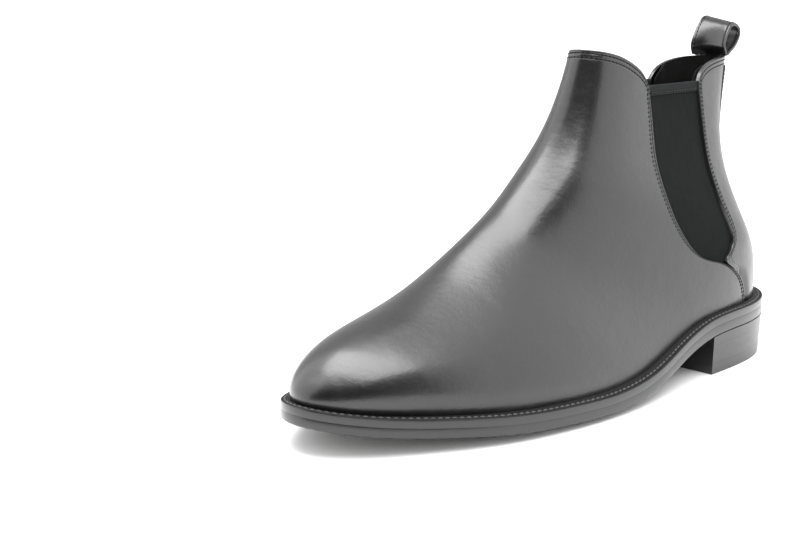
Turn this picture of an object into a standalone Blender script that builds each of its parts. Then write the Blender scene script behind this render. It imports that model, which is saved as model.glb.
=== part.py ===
"""A left chelsea boot, men's EU 43, built from its separate pieces.

The tables are in millimetres and the meshes in metres. X runs from heel to toe,
Y to the wearer's left, which is the outer side, and Z up. In the tables x is
counted forward from the back edge of the heel; the model's origin is the middle
of the heel's ground face.

The outer surface of the upper is a row of ribs. Each rib is an egg-shaped loop in
a plane across the boot. It starts at the ridge, which runs from the front of the
collar over the instep to the toe, and goes round both sides to its far end, which
follows the back seam down and then runs on under the foot. A place on the surface
is (k, theta): k counts the ribs from the collar to the toe tip, and theta is the
angle round the rib, 0 at the ridge, positive on the outer side, pi at the far end.
"""

import bmesh
import bpy
import numpy as np
from mathutils import Matrix

MM = 0.001
GAP = 0.3  # between pieces that touch on the real boot
SHARP = np.radians(40)  # edges above this angle stay sharp

# ---------------------------------------------------------------- driving sizes

HEEL_LENGTH = 76.0  # heel back to heel breast
HEEL_CENTRE = HEEL_LENGTH / 2
BREAST_HOLLOW = 2.0  # how far the breast curves in
HEEL_TAPER = 1.2  # how much smaller the heel is at the ground, each side
BREAST_CORNER = 2.0  # the side outline stops this far behind the breast
TOP_PIECE = 5.5  # wearing layer, on the ground
LIFTS = 3

OUTSOLE_HEEL, OUTSOLE_FORE = 5.0, 4.3
WELT_HEEL, WELT_FORE = 3.8, 3.6
WELT_WIDTH = ((HEEL_LENGTH, 5.0), (165.0, 6.8), (225.0, 6.8), (280.0, 4.2))  # x, width
THREAD_RADIUS = 0.4
THREAD_PLACE = 0.6  # share of the welt's width, from the upper

UPPER = 1.4
GORE = 1.25
STIFFENER = 1.2
PUFF, PUFF_DEPTH = 0.9, 1.8  # toe puff: thickness, depth below the outer surface
LINING = 1.0
INSOLE = 2.5
SOCK = 1.2
HEEL_PAD = 2.6
HEEL_PAD_INSET, HEEL_PAD_SHORT = 1.5, 4.0  # inside the wall, and behind the heel breast
SLACK = 2.5 * GAP  # where a piece crosses others of a different curve
LINING_DEPTH = UPPER + GORE + SLACK  # below the outer surface
CAVITY_GAP = 2.0  # from the lining to the insole and the sock

STRAP_WIDTH = 22.0
STRAP = 2.2
STRAP_RISE = 15.5  # above its hinge line
STRAP_MIDDLE = -1.0  # y
STRAP_BELLY = 7.0  # half the opening between its legs
STRAP_LEAN = np.radians(28.0)  # backwards, at rest
STRAP_LEG = ((-1.4, -1.4), (-2.2, 3.0), (-5.95, 7.0))  # from the foot up, measured from the hinge line
STRAP_END, STRAP_END_TURN = 1.6, 0.36  # thickness of the sewn ends, and half their turn round the rib
STRAP_END_DROP = {"inner": 27.5, "outer": 3.8}  # how far each end reaches below the collar
COLLAR_BACK = 149.5
HINGE = (10.0, 152.7)  # x, z of the line that the pull loop swings about

# Ridge x, y, z | far end x, y, z | half width | skew | square | bow
RIBS = (
    (129.5, 3.8, 174.4, 3.6, -0.4, 176.0, 14.5, -0.14, 0.51, 0),
    (135.5, 3.3, 152.2, 7.7, -1.4, 149.5, 14.8, -0.14, 0.49, 0),
    (143.0, 2.2, 130.6, 12.2, -2.0, 120.5, 18.3, -0.10, 0.40, 0),
    (152.5, 0.9, 113.8, 12.8, -0.4, 92.5, 24.1, -0.02, 0.33, 0),
    (163.2, -0.8, 101.1, 6.3, 2.9, 65.5, 30.9, 0.10, 0.30, 0),
    (175.7, -3.1, 89.4, 1.2, 5.8, 37.0, 33.8, 0.18, 0.30, 0),
    (190.3, -5.4, 79.2, 21.5, 6.5, -8.0, 37.4, 0.18, 0.19, 0),
    (205.7, -6.6, 68.6, 89.5, 4.0, -27.0, 44.6, 0.15, 0.07, 0),
    (222.0, -7.6, 59.0, 158.3, -1.0, -30.0, 46.4, 0.10, 0.00, 0),
    (240.3, -9.2, 51.6, 211.7, -6.1, -21.5, 41.6, 0.05, 0.00, 0),
    (257.8, -10.8, 46.0, 246.1, -10.1, -8.5, 33.8, 0.00, 0.00, 3),
    (272.3, -11.6, 40.2, 268.9, -11.7, 3.0, 24.0, 0.00, 0.00, 10),
    (281.8, -11.9, 33.8, 280.2, -12.3, 10.0, 12.8, 0.00, 0.00, 21),
    (285.0, -12.2, 30.6, 283.0, -12.5, 12.0, 0.0, 0.00, 0.00, 27),
)
WIDTH = 6  # the column that changes sign past the toe tip
TIP = len(RIBS) - 1

# Edge of the outsole's underside, x and z. It is straight over the heel.
SOLE_LINE = ((0, 20.9), (38, 20.1), (76, 18.9), (100, 14.1), (130, 6.3), (160, 2.9), (190, 3.0), (215, 3.7),
             (245, 6.0), (275, 9.2), (302, 14.2))
# How far the tread bulges below its edge, x and height; at the ball it reaches the ground.
TREAD_CROWN = ((95, 0.0), (130, 1.0), (160, 2.6), (190, 3.0), (215, 2.9), (245, 1.7), (275, 0.5),
               (302, 0.0))

# Edges of the pieces in the side view, x and z
COLLAR_FRONT = ((135.0, 156.5), (128.0, 155.3), (119.0, 153.0), (110.0, 149.2), (102.3, 144.0),
                (98.6, 138.7))
GORE_FRONT = ((98.6, 138.7), (97.9, 128.0), (98.3, 118.0), (100.2, 104.0), (100.0, 93.0), (96.8, 81.0),
              (90.0, 69.5), (81.5, 60.5), (71.0, 54.8), (60.0, 52.0))
GORE_BACK = ((50.4, 138.7), (49.4, 126.0), (49.6, 112.0), (50.8, 98.0), (51.0, 88.0), (49.6, 74.0),
             (47.4, 65.0), (49.6, 58.4), (56.0, 52.8))
COLLAR_REAR = ((50.4, 138.7), (48.2, 142.0), (43.0, 145.6), (35.0, 147.9), (22.0, 149.3),
               (7.7, COLLAR_BACK))
SEAM = ((60.0, 52.0), (48.5, 47.6), (40.0, 41.0), (36.2, 34.0), (34.5, 22.0))
UNDERLAP = ((56.0, 52.8), (47.9, 48.0), (44.4, 45.0), (44.2, 38.0), (44.0, 31.0), (43.0, 22.0))
PANEL_FRONT = ((102.6, 134.4), (102.4, 122.0), (105.0, 106.0), (105.6, 93.0), (101.2, 77.5), (91.5, 64.0),
               (79.0, 55.0), (64.0, 50.6))
PANEL_BACK = ((45.2, 134.4), (44.4, 122.0), (45.2, 106.0), (46.0, 90.0), (44.4, 73.0), (42.4, 63.0),
              (46.0, 54.0))
PANEL_TOP_MIDDLE, PANEL_FOOT_MIDDLE = (74.0, 134.4), (55.0, 51.4)
BINDING_LOW, BINDING_HIGH = 134.7, 139.0
BINDING_FROM, BINDING_TO = 51.5, 97.2  # x
BINDING_EXTRA = 1.0  # how much thicker it is than the gore
TUCK_FROM, TUCK_RUN = 50.1, 6.0  # height where the quarter starts to sink under the vamp, and over how much
TUCK_NEAR, TUCK_FADE = 6.0, 8.0  # it is sunk this far behind the seam, then comes back out
INSIDE_COUNTER_X = (92.0, 112.0)  # over these the lining moves in, to clear the counter
INSIDE_COUNTER_Z = (82.0, 98.0)
VAMP_GRID, QUARTER_GRID = (22, 26), (13, 19)  # columns, rows
PUFF_ROW, PUFF_COLUMNS = 17, 10  # the toe puff lies under this part of the vamp
COUNTER_ROW, COUNTER_COLUMN = 10, 2  # the heel counter lies under this part of the rear lining
BACKSTAY_HALF = ((26.0, 15.5), (50.0, 10.5), (90.0, 8.0), (145.0, 9.0))  # z, half width
BACKSTAY_TOP = COLLAR_BACK - 4.5
BACKSTAY, BACKSTAY_LIFT = 1.1, 1.3  # thickness, and how far it stands out
STRAP_END_CLEAR = 0.5  # between the backstay and the strap's outer end
CORK_FROM, CORK_TO = 160.0, 275.0
SHANK_FROM, SHANK_TO, SHANK_HALF, SHANK = 42.0, 156.0, 6.0, 1.2
NAILS = ((12.0, 0.0), (24.0, 18.0), (24.0, -18.0), (52.0, 20.0), (52.0, -20.0))
NAIL_RADIUS, NAIL_HOLE = 1.0, 1.35
NAIL_HOLE_FOOT, NAIL_HOLE_TOP = TOP_PIECE - 2.0, 32.0
NAIL_SHORT = 0.5  # the nails end this far under the sole's top
PIN_SIDES = 8
RIB_INSET, RIB = 6.0, 2.0  # insole rib: from the edge of the board, and its thickness
SOCK_RAMP = (HEEL_LENGTH + 1.0, HEEL_LENGTH + 24.0)  # the sock comes down here


# ---------------------------------------------------------------- curves and surface

def spline(knots, rows, mirrored=()):
    """Natural cubic spline through the rows, as a function of the knot value."""
    knots = np.asarray(knots, float)
    rows = np.asarray(rows, float).reshape(len(knots), -1)
    if len(mirrored):
        sign = np.ones(rows.shape[1])
        sign[list(mirrored)] = -1
        knots = np.concatenate([knots, 2 * knots[-1] - knots[-2::-1]])
        rows = np.vstack([rows, rows[-2::-1] * sign])
    step = np.diff(knots)
    slope = np.diff(rows, axis=0) / step[:, None]
    count = len(knots)
    system = np.eye(count)
    right = np.zeros_like(rows)
    for i in range(1, count - 1):
        system[i, i - 1:i + 2] = step[i - 1], 2 * (step[i - 1] + step[i]), step[i]
        right[i] = 6 * (slope[i] - slope[i - 1])
    bend = np.linalg.solve(system, right)

    def at(value):
        value = np.clip(np.asarray(value, float), knots[0], knots[-1])
        i = np.clip(np.searchsorted(knots, value, side="right") - 1, 0, count - 2)
        h = step[i][..., None]
        b = (value - knots[i])[..., None] / h
        a = 1 - b
        cubic = (a ** 3 - a) * bend[i] + (b ** 3 - b) * bend[i + 1]
        return a * rows[i] + b * rows[i + 1] + cubic * h * h / 6

    return at


def along(points):
    """Smooth curve through the points, as a function of the fraction of its length."""
    points = np.asarray(points, float)
    length = np.concatenate([[0], np.cumsum(np.linalg.norm(np.diff(points, axis=0), axis=1))])
    return spline(length / length[-1], points)


def even(points, count):
    """The same polyline with its points evenly spaced in their first three columns."""
    length = np.concatenate([[0], np.cumsum(np.linalg.norm(np.diff(points[:, :3], axis=0), axis=1))])
    wanted = np.linspace(0, length[-1], count)
    return np.stack([np.interp(wanted, length, column) for column in points.T], axis=1)


rib_at = spline(range(len(RIBS)), RIBS, mirrored=(WIDTH,))
sole_line_at = spline([x for x, _ in SOLE_LINE], [z for _, z in SOLE_LINE])


def surface(k, theta):
    """Point of the outer surface of the upper, in table millimetres."""
    k, theta = np.broadcast_arrays(np.asarray(k, float), np.asarray(theta, float))
    rib = rib_at(k)
    turn = np.cos(theta)
    part = (1 - turn) / 2
    point = rib[..., 0:3] + (rib[..., 3:6] - rib[..., 0:3]) * part[..., None]
    width, skew, square, bow = (rib[..., i] for i in range(WIDTH, WIDTH + 4))
    point[..., 0] += bow * part * (1 - part)
    point[..., 1] += width * np.sin(theta) * (1 - skew * turn + square * turn * turn)
    return point


def skin(k, theta, depth=0.0):
    """Point of the surface, moved inwards by depth."""
    k, theta = np.broadcast_arrays(np.asarray(k, float), np.asarray(theta, float))
    small = 1e-3
    near = np.minimum(k, TIP - 0.05)
    along_k = surface(near + small, theta) - surface(near - small, theta)
    along_theta = surface(near, theta + small) - surface(near, theta - small)
    normal = np.cross(along_k, along_theta)
    normal /= np.maximum(np.linalg.norm(normal, axis=-1, keepdims=True), 1e-12)
    return surface(k, theta) - normal * np.asarray(depth, float)[..., None]


def locate(points):
    """(k, theta) on the outer side of the surface for points of the side view."""
    points = np.asarray(points, float)
    x, z = points[:, 0], points[:, 1]
    low = np.zeros(len(x))
    high = np.full(len(x), float(TIP))
    for _ in range(40):
        k = (low + high) / 2
        rib = rib_at(k)
        ahead = (rib[:, 3] - rib[:, 0]) * (z - rib[:, 2]) - (rib[:, 5] - rib[:, 2]) * (x - rib[:, 0]) > 0
        low = np.where(ahead, k, low)
        high = np.where(ahead, high, k)
    rib = rib_at(k)
    run, fall = rib[:, 3] - rib[:, 0], rib[:, 5] - rib[:, 2]
    part = ((x - rib[:, 0]) * run + (z - rib[:, 2]) * fall) / (run * run + fall * fall)
    return np.stack([k, np.arccos(np.clip(1 - 2 * part, -1, 1))], axis=1)


def level(k, height, depth=0.0):
    """theta at which each rib k passes the height, which is a function of x."""
    low = np.zeros(len(k))
    high = np.full(len(k), np.pi)
    for _ in range(40):
        theta = (low + high) / 2
        point = skin(k, theta, depth)
        above = point[:, 2] > height(point[:, 0])
        low = np.where(above, theta, low)
        high = np.where(above, high, theta)
    return theta


def sole_low(x):
    return sole_line_at(x)[..., 0]


def tread_crown(x):
    return np.interp(x, *zip(*TREAD_CROWN))


def thickness(x, heel, fore):
    """Value that goes from its heel size to its forepart size along the waist."""
    return np.interp(x, (HEEL_LENGTH, 165.0), (heel, fore))


def sole_top(x):
    return sole_low(x) + thickness(x, OUTSOLE_HEEL, OUTSOLE_FORE)


def foot_of_upper(x):
    return sole_top(x) + GAP


def welt_top(x):
    return foot_of_upper(x) + thickness(x, WELT_HEEL, WELT_FORE)


def insole_low(x):
    return foot_of_upper(x) + WELT_FORE + GAP


def insole_top(x):
    return insole_low(x) + INSOLE


# ---------------------------------------------------------------- grids on the surface

def back_rib(height, depth=0.0):
    """k of the rib whose far end is at the height."""
    k = np.linspace(0.0, 8.0, 4001)
    point = skin(k, np.full(len(k), np.pi), depth)
    return k[np.argmax(point[:, 2] < height(point[:, 0]))]


def rim(height, depth=0.0, start=None, count=400):
    """(k, theta) along the outer side at one height, from the heel back, or from rib start, to the toe tip."""
    first = back_rib(height, depth) if start is None else start
    fraction = np.linspace(0, 1, count)
    k = first + (TIP - first) * fraction ** (2 if start is None else 1)
    theta = level(k, height, depth)
    if start is None:
        theta[0] = np.pi
    return np.stack([k, theta], axis=1)


def spread(path, count):
    """count places along a path of (k, theta), evenly spaced on the surface."""
    point = surface(path[:, 0], path[:, 1])
    return even(np.hstack([point, path]), count)[:, 3:]


def trace(points, count):
    """(k, theta) evenly along a side-view curve."""
    return spread(locate(along(points)(np.linspace(0, 1, 160))), count)


def coons(top, bottom, left, right):
    """Grid between four edges; left and right run from top to bottom."""
    u = np.linspace(0, 1, len(top))[None, :, None]
    v = np.linspace(0, 1, len(left))[:, None, None]
    ruled = (1 - v) * top[None] + v * bottom[None] + (1 - u) * left[:, None] + u * right[:, None]
    corners = (1 - u) * (1 - v) * top[0] + u * (1 - v) * top[-1] + (1 - u) * v * bottom[0] + u * v * bottom[-1]
    return ruled - corners


def across_middle(half):
    """A grid whose first column is on the ridge or the back seam, with its mirror image."""
    return np.concatenate([half[:, :0:-1], half * np.array([1, -1])], axis=1)


# ---------------------------------------------------------------- meshes

def material(name, colour, roughness, metallic=0.0):
    made = bpy.data.materials.new(name)
    made.use_nodes = True
    shader = made.node_tree.nodes["Principled BSDF"]
    shader.inputs["Base Color"].default_value = (*colour, 1)
    shader.inputs["Roughness"].default_value = roughness
    shader.inputs["Metallic"].default_value = metallic
    return made


def world(points):
    """Table millimetres to model metres."""
    return (np.asarray(points, float) - np.array([HEEL_CENTRE, 0, 0])) * MM


def finish(name, mesh, look):
    bmesh.ops.recalc_face_normals(mesh, faces=mesh.faces)
    data = bpy.data.meshes.new(name)
    mesh.to_mesh(data)
    mesh.free()
    data.materials.append(look)
    data.shade_smooth()
    data.set_sharp_from_angle(angle=SHARP)
    made = bpy.data.objects.new(name, data)
    bpy.context.scene.collection.objects.link(made)
    return made


def closed_grid(mesh, layers):
    """A closed body from two skins of the same grid, (2, rows, columns, 3)."""
    front, back = ([[mesh.verts.new(p) for p in row] for row in layer] for layer in layers)
    rows, columns = len(front), len(front[0])
    for i in range(rows - 1):
        for j in range(columns - 1):
            for triangle in (((i, j), (i, j + 1), (i + 1, j + 1)), ((i, j), (i + 1, j + 1), (i + 1, j))):
                mesh.faces.new([front[a][b] for a, b in triangle])
                mesh.faces.new([back[a][b] for a, b in reversed(triangle)])
    border = [(0, j) for j in range(columns)] + [(i, columns - 1) for i in range(1, rows)]
    border += [(rows - 1, j) for j in range(columns - 2, -1, -1)] + [(i, 0) for i in range(rows - 2, 0, -1)]
    for (a, b), (c, d) in zip(border, border[1:] + border[:1]):
        mesh.faces.new((front[a][b], back[a][b], back[c][d], front[c][d]))


def leather(name, grid, look, thick, depth=0.0):
    """A piece of even thickness that follows the surface under a grid, above the outsole."""
    k, theta = grid[..., 0], grid[..., 1]
    depth = np.broadcast_to(depth, k.shape)
    layers = [skin(k, theta, depth + down) for down in (0, thick)]
    for points in layers:
        points[..., 2] = np.maximum(points[..., 2], foot_of_upper(points[..., 0]))
    mesh = bmesh.new()
    closed_grid(mesh, [world(points) for points in layers])
    return finish(name, mesh, look)


def offset_loop(loop, distance):
    """A closed plan outline moved outwards; it runs anticlockwise."""
    edge = np.roll(loop, -1, axis=0) - np.roll(loop, 1, axis=0)
    normal = np.stack([edge[:, 1], -edge[:, 0]], axis=1)
    normal /= np.linalg.norm(normal, axis=1, keepdims=True)
    return loop + normal * np.broadcast_to(distance, len(loop))[:, None]


def plan_loop(height, depth=0.0, count=42):
    """Plan outline of the surface at a height: heel back, inner side, toe tip, outer side."""
    path = rim(height, depth)
    sides = []
    for side in (-1, 1):
        point = skin(path[:, 0], side * path[:, 1], depth)
        sides.append(even(point, count))
    inner, outer = sides
    return np.concatenate([inner[:, :2], outer[-2:0:-1, :2]])


def paired(loop):
    """The outline as pairs across the boot, from the heel back to the toe tip."""
    half = len(loop) // 2
    inner = loop[:half + 1]
    outer = np.concatenate([loop[:1], loop[:half - 1:-1]])
    return inner, outer


def slab(name, pairs, low, high, look, crown=None):
    """A flat piece between two heights that are functions of x; pairs are its two long edges.

    With a crown the underside bulges down by that function of x, along the middle.
    """
    mesh = bmesh.new()
    rings = []
    for height, bulge in ((low, crown), (high, None)):
        shares = np.linspace(0, 1, 7 if bulge else 2)
        rows = []
        for inner, outer in zip(*pairs):
            pointed = np.allclose(inner, outer)
            places = np.array([inner + (outer - inner) * t for t in (shares[:1] if pointed else shares)])
            z = height(places[:, 0])
            if bulge and not pointed:
                z = z - bulge(places[:, 0]) * (1 - (2 * shares - 1) ** 4)
            rows.append([mesh.verts.new(p) for p in world(np.column_stack([places, z]))])
        for row, following in zip(rows, rows[1:]):
            link(mesh, row, following)
        rings.append(list(dict.fromkeys([row[0] for row in rows] + [row[-1] for row in reversed(rows)])))
    wall(mesh, rings)
    return finish(name, mesh, look)


def link(mesh, row, following):
    """The faces between two rows of vertices; a row may be a single point."""
    for i in range(max(len(row), len(following)) - 1):
        corners = [row[min(i, len(row) - 1)], row[min(i + 1, len(row) - 1)],
                   following[min(i + 1, len(following) - 1)], following[min(i, len(following) - 1)]]
        mesh.faces.new(list(dict.fromkeys(corners)))


def wall(mesh, rings):
    """The side faces between two closed rings of vertices."""
    for i in range(len(rings[0])):
        j = (i + 1) % len(rings[0])
        mesh.faces.new((rings[0][i], rings[0][j], rings[1][j], rings[1][i]))


def band(name, outer, inner, low, high, look, inner_low=None):
    """A closed strip between two plan outlines and two heights."""
    mesh = bmesh.new()
    corners = []
    inner_low = inner if inner_low is None else inner_low
    for loop, height in ((outer, low), (outer, high), (inner, high), (inner_low, low)):
        points = world(np.column_stack([loop, height(loop[:, 0])]))
        corners.append([mesh.verts.new(p) for p in points])
    for ring, following in zip(corners, corners[1:] + corners[:1]):
        wall(mesh, (ring, following))
    return finish(name, mesh, look)


def cut_at_breast(loop, inset):
    """The part of an outline behind the heel breast, closed by the hollow breast line."""
    loop = offset_loop(loop, -inset)
    inner, outer = paired(loop)
    corners = [np.array([HEEL_LENGTH, np.interp(HEEL_LENGTH, side[:, 0], side[:, 1])])
               for side in (inner, outer)]
    back = [side[side[:, 0] < HEEL_LENGTH - BREAST_CORNER] for side in (inner, outer)]
    across = np.linspace(0, 1, 9)[1:-1]
    breast = [corners[0] + (corners[1] - corners[0]) * t - np.array([4 * t * (1 - t) * BREAST_HOLLOW, 0])
              for t in across]
    return np.vstack([back[0], corners[0], *breast, corners[1], back[1][:0:-1]])


def lift(name, loops, low, high, look):
    """A heel layer: an outline at its foot and one at its top."""
    mesh = bmesh.new()
    rings = [[mesh.verts.new(p) for p in world(np.column_stack([loop, height(loop[:, 0])]))]
             for loop, height in zip(loops, (low, high))]
    mesh.faces.new(rings[0][::-1])
    mesh.faces.new(rings[1])
    wall(mesh, rings)
    return finish(name, mesh, look)


def pins(name, places, radius, low, high, look):
    """Upright round pins in one object."""
    mesh = bmesh.new()
    for x, y in places:
        made = bmesh.ops.create_cone(mesh, cap_ends=True, segments=PIN_SIDES, radius1=radius * MM,
                                     radius2=radius * MM, depth=(high - low) * MM)
        middle = world([x, y, (low + high) / 2])
        bmesh.ops.translate(mesh, verts=made["verts"], vec=middle)
    return finish(name, mesh, look)


# ---------------------------------------------------------------- the upper

def lining_depth(grid):
    """Depth of the lining: it passes inside the gores, and inside the heel counter."""
    point = surface(grid[..., 0], grid[..., 1])
    behind = np.interp(point[..., 0], INSIDE_COUNTER_X, (1, 0))
    low = np.interp(point[..., 2], INSIDE_COUNTER_Z, (1, 0))
    return LINING_DEPTH + (STIFFENER + GAP) * behind * low


def tuck(grid):
    """How far the quarter sinks to pass under the vamp, next to the seam."""
    point = surface(grid[..., 0], grid[..., 1])[..., [0, 2]]
    seam = along(SEAM)(np.linspace(0, 1, 60))
    apart = np.linalg.norm(point[..., None, :] - seam, axis=-1)
    ahead = point[..., 0] > seam[apart.argmin(axis=-1)][..., 0]
    below = np.interp(point[..., 1], (TUCK_FROM - TUCK_RUN, TUCK_FROM), (1, 0))
    close = np.where(ahead, 1.0, np.interp(apart.min(axis=-1), (TUCK_NEAR, TUCK_NEAR + TUCK_FADE), (1, 0)))
    return (UPPER + SLACK) * close * below


def down_to_foot(points, count, shift=0.0):
    """(k, theta) down a side-view edge until the foot of the upper, evenly spaced."""
    places = locate(along(points)(np.linspace(0, 1, 240)) + np.array([shift, 0]))
    point = surface(places[:, 0], places[:, 1])
    return spread(places[point[:, 2] > foot_of_upper(point[:, 0])], count)


def foot_between(first, last, count):
    """(k, theta) along the foot of the upper, between the x of two places on it."""
    path = rim(foot_of_upper)
    x = surface(path[:, 0], path[:, 1])[:, 0]
    ends = sorted((first, last))
    path = spread(path[(x >= ends[0]) & (x <= ends[1])], count)
    return path if first < last else path[::-1]


def toe_front():
    """The middle of the toe, from the ridge down to the foot of the upper."""
    return np.column_stack([np.full(40, TIP), np.linspace(0, level(np.array([TIP]), foot_of_upper)[0], 40)])


def back_line(top, count, inset=0.0):
    """The back seam, from height top down to the foot of the upper."""
    first, last = back_rib(lambda x: top + 0 * x), back_rib(foot_of_upper)
    path = np.column_stack([np.linspace(first, last, 200), np.full(200, np.pi - inset)])
    return spread(path, count)


def join(*curves):
    """Side-view curves end to end."""
    return np.vstack([curves[0]] + [np.asarray(c)[1:] for c in curves[1:]])


def vamp_half(columns, rows):
    peak = locate([COLLAR_FRONT[0]])[0, 0]
    ridge = np.column_stack([np.linspace(peak, TIP, 300), np.zeros(300)])
    left = spread(np.vstack([ridge, toe_front()[1:]]), rows)
    right = down_to_foot(join(GORE_FRONT, SEAM), rows)
    top = trace(COLLAR_FRONT, columns)
    top[0] = left[0]
    foot_x = surface(*right[-1])[0]
    bottom = foot_between(1000.0, foot_x, columns)
    return coons(top, bottom, left, right)


def quarter_half(columns, rows, front, shift=0.0, inset=0.0):
    """From the front edge of the quarter back to the back seam."""
    left = down_to_foot(front, rows, shift)
    right = back_line(COLLAR_BACK, rows, inset)
    slide = np.array([[shift, 0]]) * np.linspace(1, 0, 100)[:, None]
    top = locate(along(COLLAR_REAR)(np.linspace(0, 1, 100)) + slide)
    top[-1] = right[0]
    bottom = foot_between(surface(*left[-1])[0], -1000.0, columns)
    return coons(spread(top, columns), bottom, left, right)


def gore_panel(columns, rows):
    left, right = trace(PANEL_BACK, rows), trace(PANEL_FRONT, rows)
    top = trace((PANEL_BACK[0], PANEL_TOP_MIDDLE, PANEL_FRONT[0]), columns)
    bottom = trace((PANEL_BACK[-1], PANEL_FOOT_MIDDLE, PANEL_FRONT[-1]), columns)
    return coons(top, bottom, left, right)


def binding_strip(columns, rows):
    x = np.linspace(BINDING_FROM, BINDING_TO, columns)
    heights = np.linspace(BINDING_HIGH, BINDING_LOW, rows)
    return np.array([locate(np.column_stack([x, np.full(columns, z)])) for z in heights])


def backstay_grid(columns, rows):
    """Strip centred on the back seam; its half width is a function of height."""
    path = back_line(BACKSTAY_TOP, 200)
    height = surface(path[:, 0], path[:, 1])[:, 2]
    path = spread(path[height > welt_top(np.zeros(200)) + 2 * GAP], rows)
    height = surface(path[:, 0], path[:, 1])[:, 2]
    half_width = along(BACKSTAY_HALF)(np.linspace(0, 1, 200))
    half = np.interp(height, half_width[:, 0], half_width[:, 1])
    middle = surface(path[:, 0], path[:, 1])[:, 1]
    low, high = np.full(rows, np.pi - 1.4), np.full(rows, np.pi)
    for _ in range(30):
        theta = (low + high) / 2
        wide = surface(path[:, 0], theta)[:, 1] - middle > half
        low, high = np.where(wide, theta, low), np.where(wide, high, theta)
    turn = (np.pi - theta)[:, None] * np.linspace(-1, 1, columns)
    return np.stack([np.repeat(path[:, :1], columns, axis=1), np.pi + turn], axis=2)


def add_upper(calf, elastic, tape, lining, stiff):
    vamp = across_middle(vamp_half(*VAMP_GRID))
    leather("vamp", vamp, calf, UPPER)
    leather("vamp_lining", vamp, lining, LINING, lining_depth(vamp))
    middle = VAMP_GRID[0] - 1
    puff = vamp[PUFF_ROW:, middle - PUFF_COLUMNS:middle + PUFF_COLUMNS + 1]
    leather("toe_puff", puff, stiff, PUFF, PUFF_DEPTH)
    quarter = quarter_half(*QUARTER_GRID, join(GORE_BACK, UNDERLAP), inset=0.006)
    gore = gore_panel(9, 14)
    binding = binding_strip(8, 2)
    for side, sign in (("lateral", 1), ("medial", -1)):
        flip = np.array([1, sign])
        leather("quarter_" + side, quarter * flip, calf, UPPER, tuck(quarter))
        leather("gore_" + side, gore * flip, elastic, GORE, UPPER + 1.5 * GAP)
        leather("gore_binding_" + side, binding * flip, tape, GORE + BINDING_EXTRA, UPPER - GAP)
    inner = across_middle(quarter_half(*QUARTER_GRID, join(GORE_BACK, SEAM), shift=-0.7)[:, ::-1])
    leather("quarter_lining", inner, lining, LINING, lining_depth(inner))
    counter = inner[COUNTER_ROW:, COUNTER_COLUMN:-COUNTER_COLUMN]
    leather("heel_counter", counter, stiff, STIFFENER, LINING_DEPTH)
    leather("backstay", backstay_grid(7, 17), calf, BACKSTAY, -BACKSTAY_LIFT)


# ---------------------------------------------------------------- the pull loop

def strap_outline():
    """Middle line of the free arch in the side plane, from its back foot over to its front foot."""
    turn = np.linspace(0, np.pi, 11)
    top = STRAP_RISE - STRAP_BELLY
    arch = np.column_stack([-STRAP_BELLY * np.cos(turn), top + STRAP_BELLY * np.sin(turn)])
    legs = np.array(STRAP_LEG)
    line = np.vstack([legs, arch, legs[::-1] * np.array([-1, 1])])
    cosine, sine = np.cos(STRAP_LEAN), np.sin(STRAP_LEAN)
    return along(line)(np.linspace(0, 1, 25)) @ np.array([[cosine, sine], [-sine, cosine]]) + np.array(HINGE)


def ribbon(name, line, width, thick, look):
    """A strap of the given width whose middle line lies in the side plane."""
    edge = np.gradient(line, axis=0)
    normal = np.column_stack([-edge[:, 1], edge[:, 0]])
    normal /= np.linalg.norm(normal, axis=1, keepdims=True)
    layers = []
    for side in (1, -1):
        points = line + normal * side * thick / 2
        layers.append([[world([x, y, z]) for x, z in points]
                       for y in (STRAP_MIDDLE - width / 2, STRAP_MIDDLE + width / 2)])
    mesh = bmesh.new()
    closed_grid(mesh, layers)
    return finish(name, mesh, look)


def add_pull_loop(calf):
    pivot = bpy.data.objects.new("pull_loop_hinge", None)
    pivot.location = world([HINGE[0], STRAP_MIDDLE, HINGE[1]])
    bpy.context.scene.collection.objects.link(pivot)
    loop = ribbon("pull_loop", strap_outline(), STRAP_WIDTH, STRAP, calf)
    loop.data.transform(Matrix.Translation(-pivot.location))
    loop.parent = pivot
    depth = LINING_DEPTH + LINING + GAP
    back = back_line(COLLAR_BACK - 1.0, 60)
    height = surface(back[:, 0], back[:, 1])[:, 2]
    for side, first in (("inner", depth), ("outer", -GAP - BACKSTAY_LIFT - STRAP_END_CLEAR)):
        path = back[height > COLLAR_BACK - STRAP_END_DROP[side], 0]
        rows = np.linspace(path[0], path[-1], 6)
        turn = np.linspace(-STRAP_END_TURN, STRAP_END_TURN, 7)
        k, theta = np.meshgrid(rows, np.pi + turn, indexing="ij")
        tab = bmesh.new()
        closed_grid(tab, [world(skin(k, theta, first + down)) for down in (0, STRAP_END)])
        finish("pull_loop_end_" + side, tab, calf)


# ---------------------------------------------------------------- the bottom

def welt_width(x):
    return np.interp(x, *zip(*WELT_WIDTH))


def cavity_loop(height):
    """Plan outline inside the lining, at a height."""
    loop = plan_loop(height, LINING_DEPTH + LINING + CAVITY_GAP)
    return offset_loop(loop, -np.interp(loop[:, 0], (90.0, 112.0), (STIFFENER + GAP, 0)))


def stretch(loop, first, last):
    """The pairs of an outline between two x, squared off where it is cut."""
    pairs = []
    for side in paired(loop):
        inside = side[(side[:, 0] > first + 1) & (side[:, 0] < last - 1)]
        ends = [np.array([[x, np.interp(x, side[:, 0], side[:, 1])]]) for x in (first, last)]
        before = ends[0] if side[0, 0] < first else side[:1]
        after = ends[1] if side[-1, 0] > last else side[-1:]
        pairs.append(np.vstack([before, inside, after]))
    return even_pairs(pairs)


def even_pairs(pairs):
    """Both edges with the same number of points."""
    count = max(len(side) for side in pairs)
    return [even(np.column_stack([side, np.zeros(len(side))]), count)[:, :2] for side in pairs]


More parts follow.
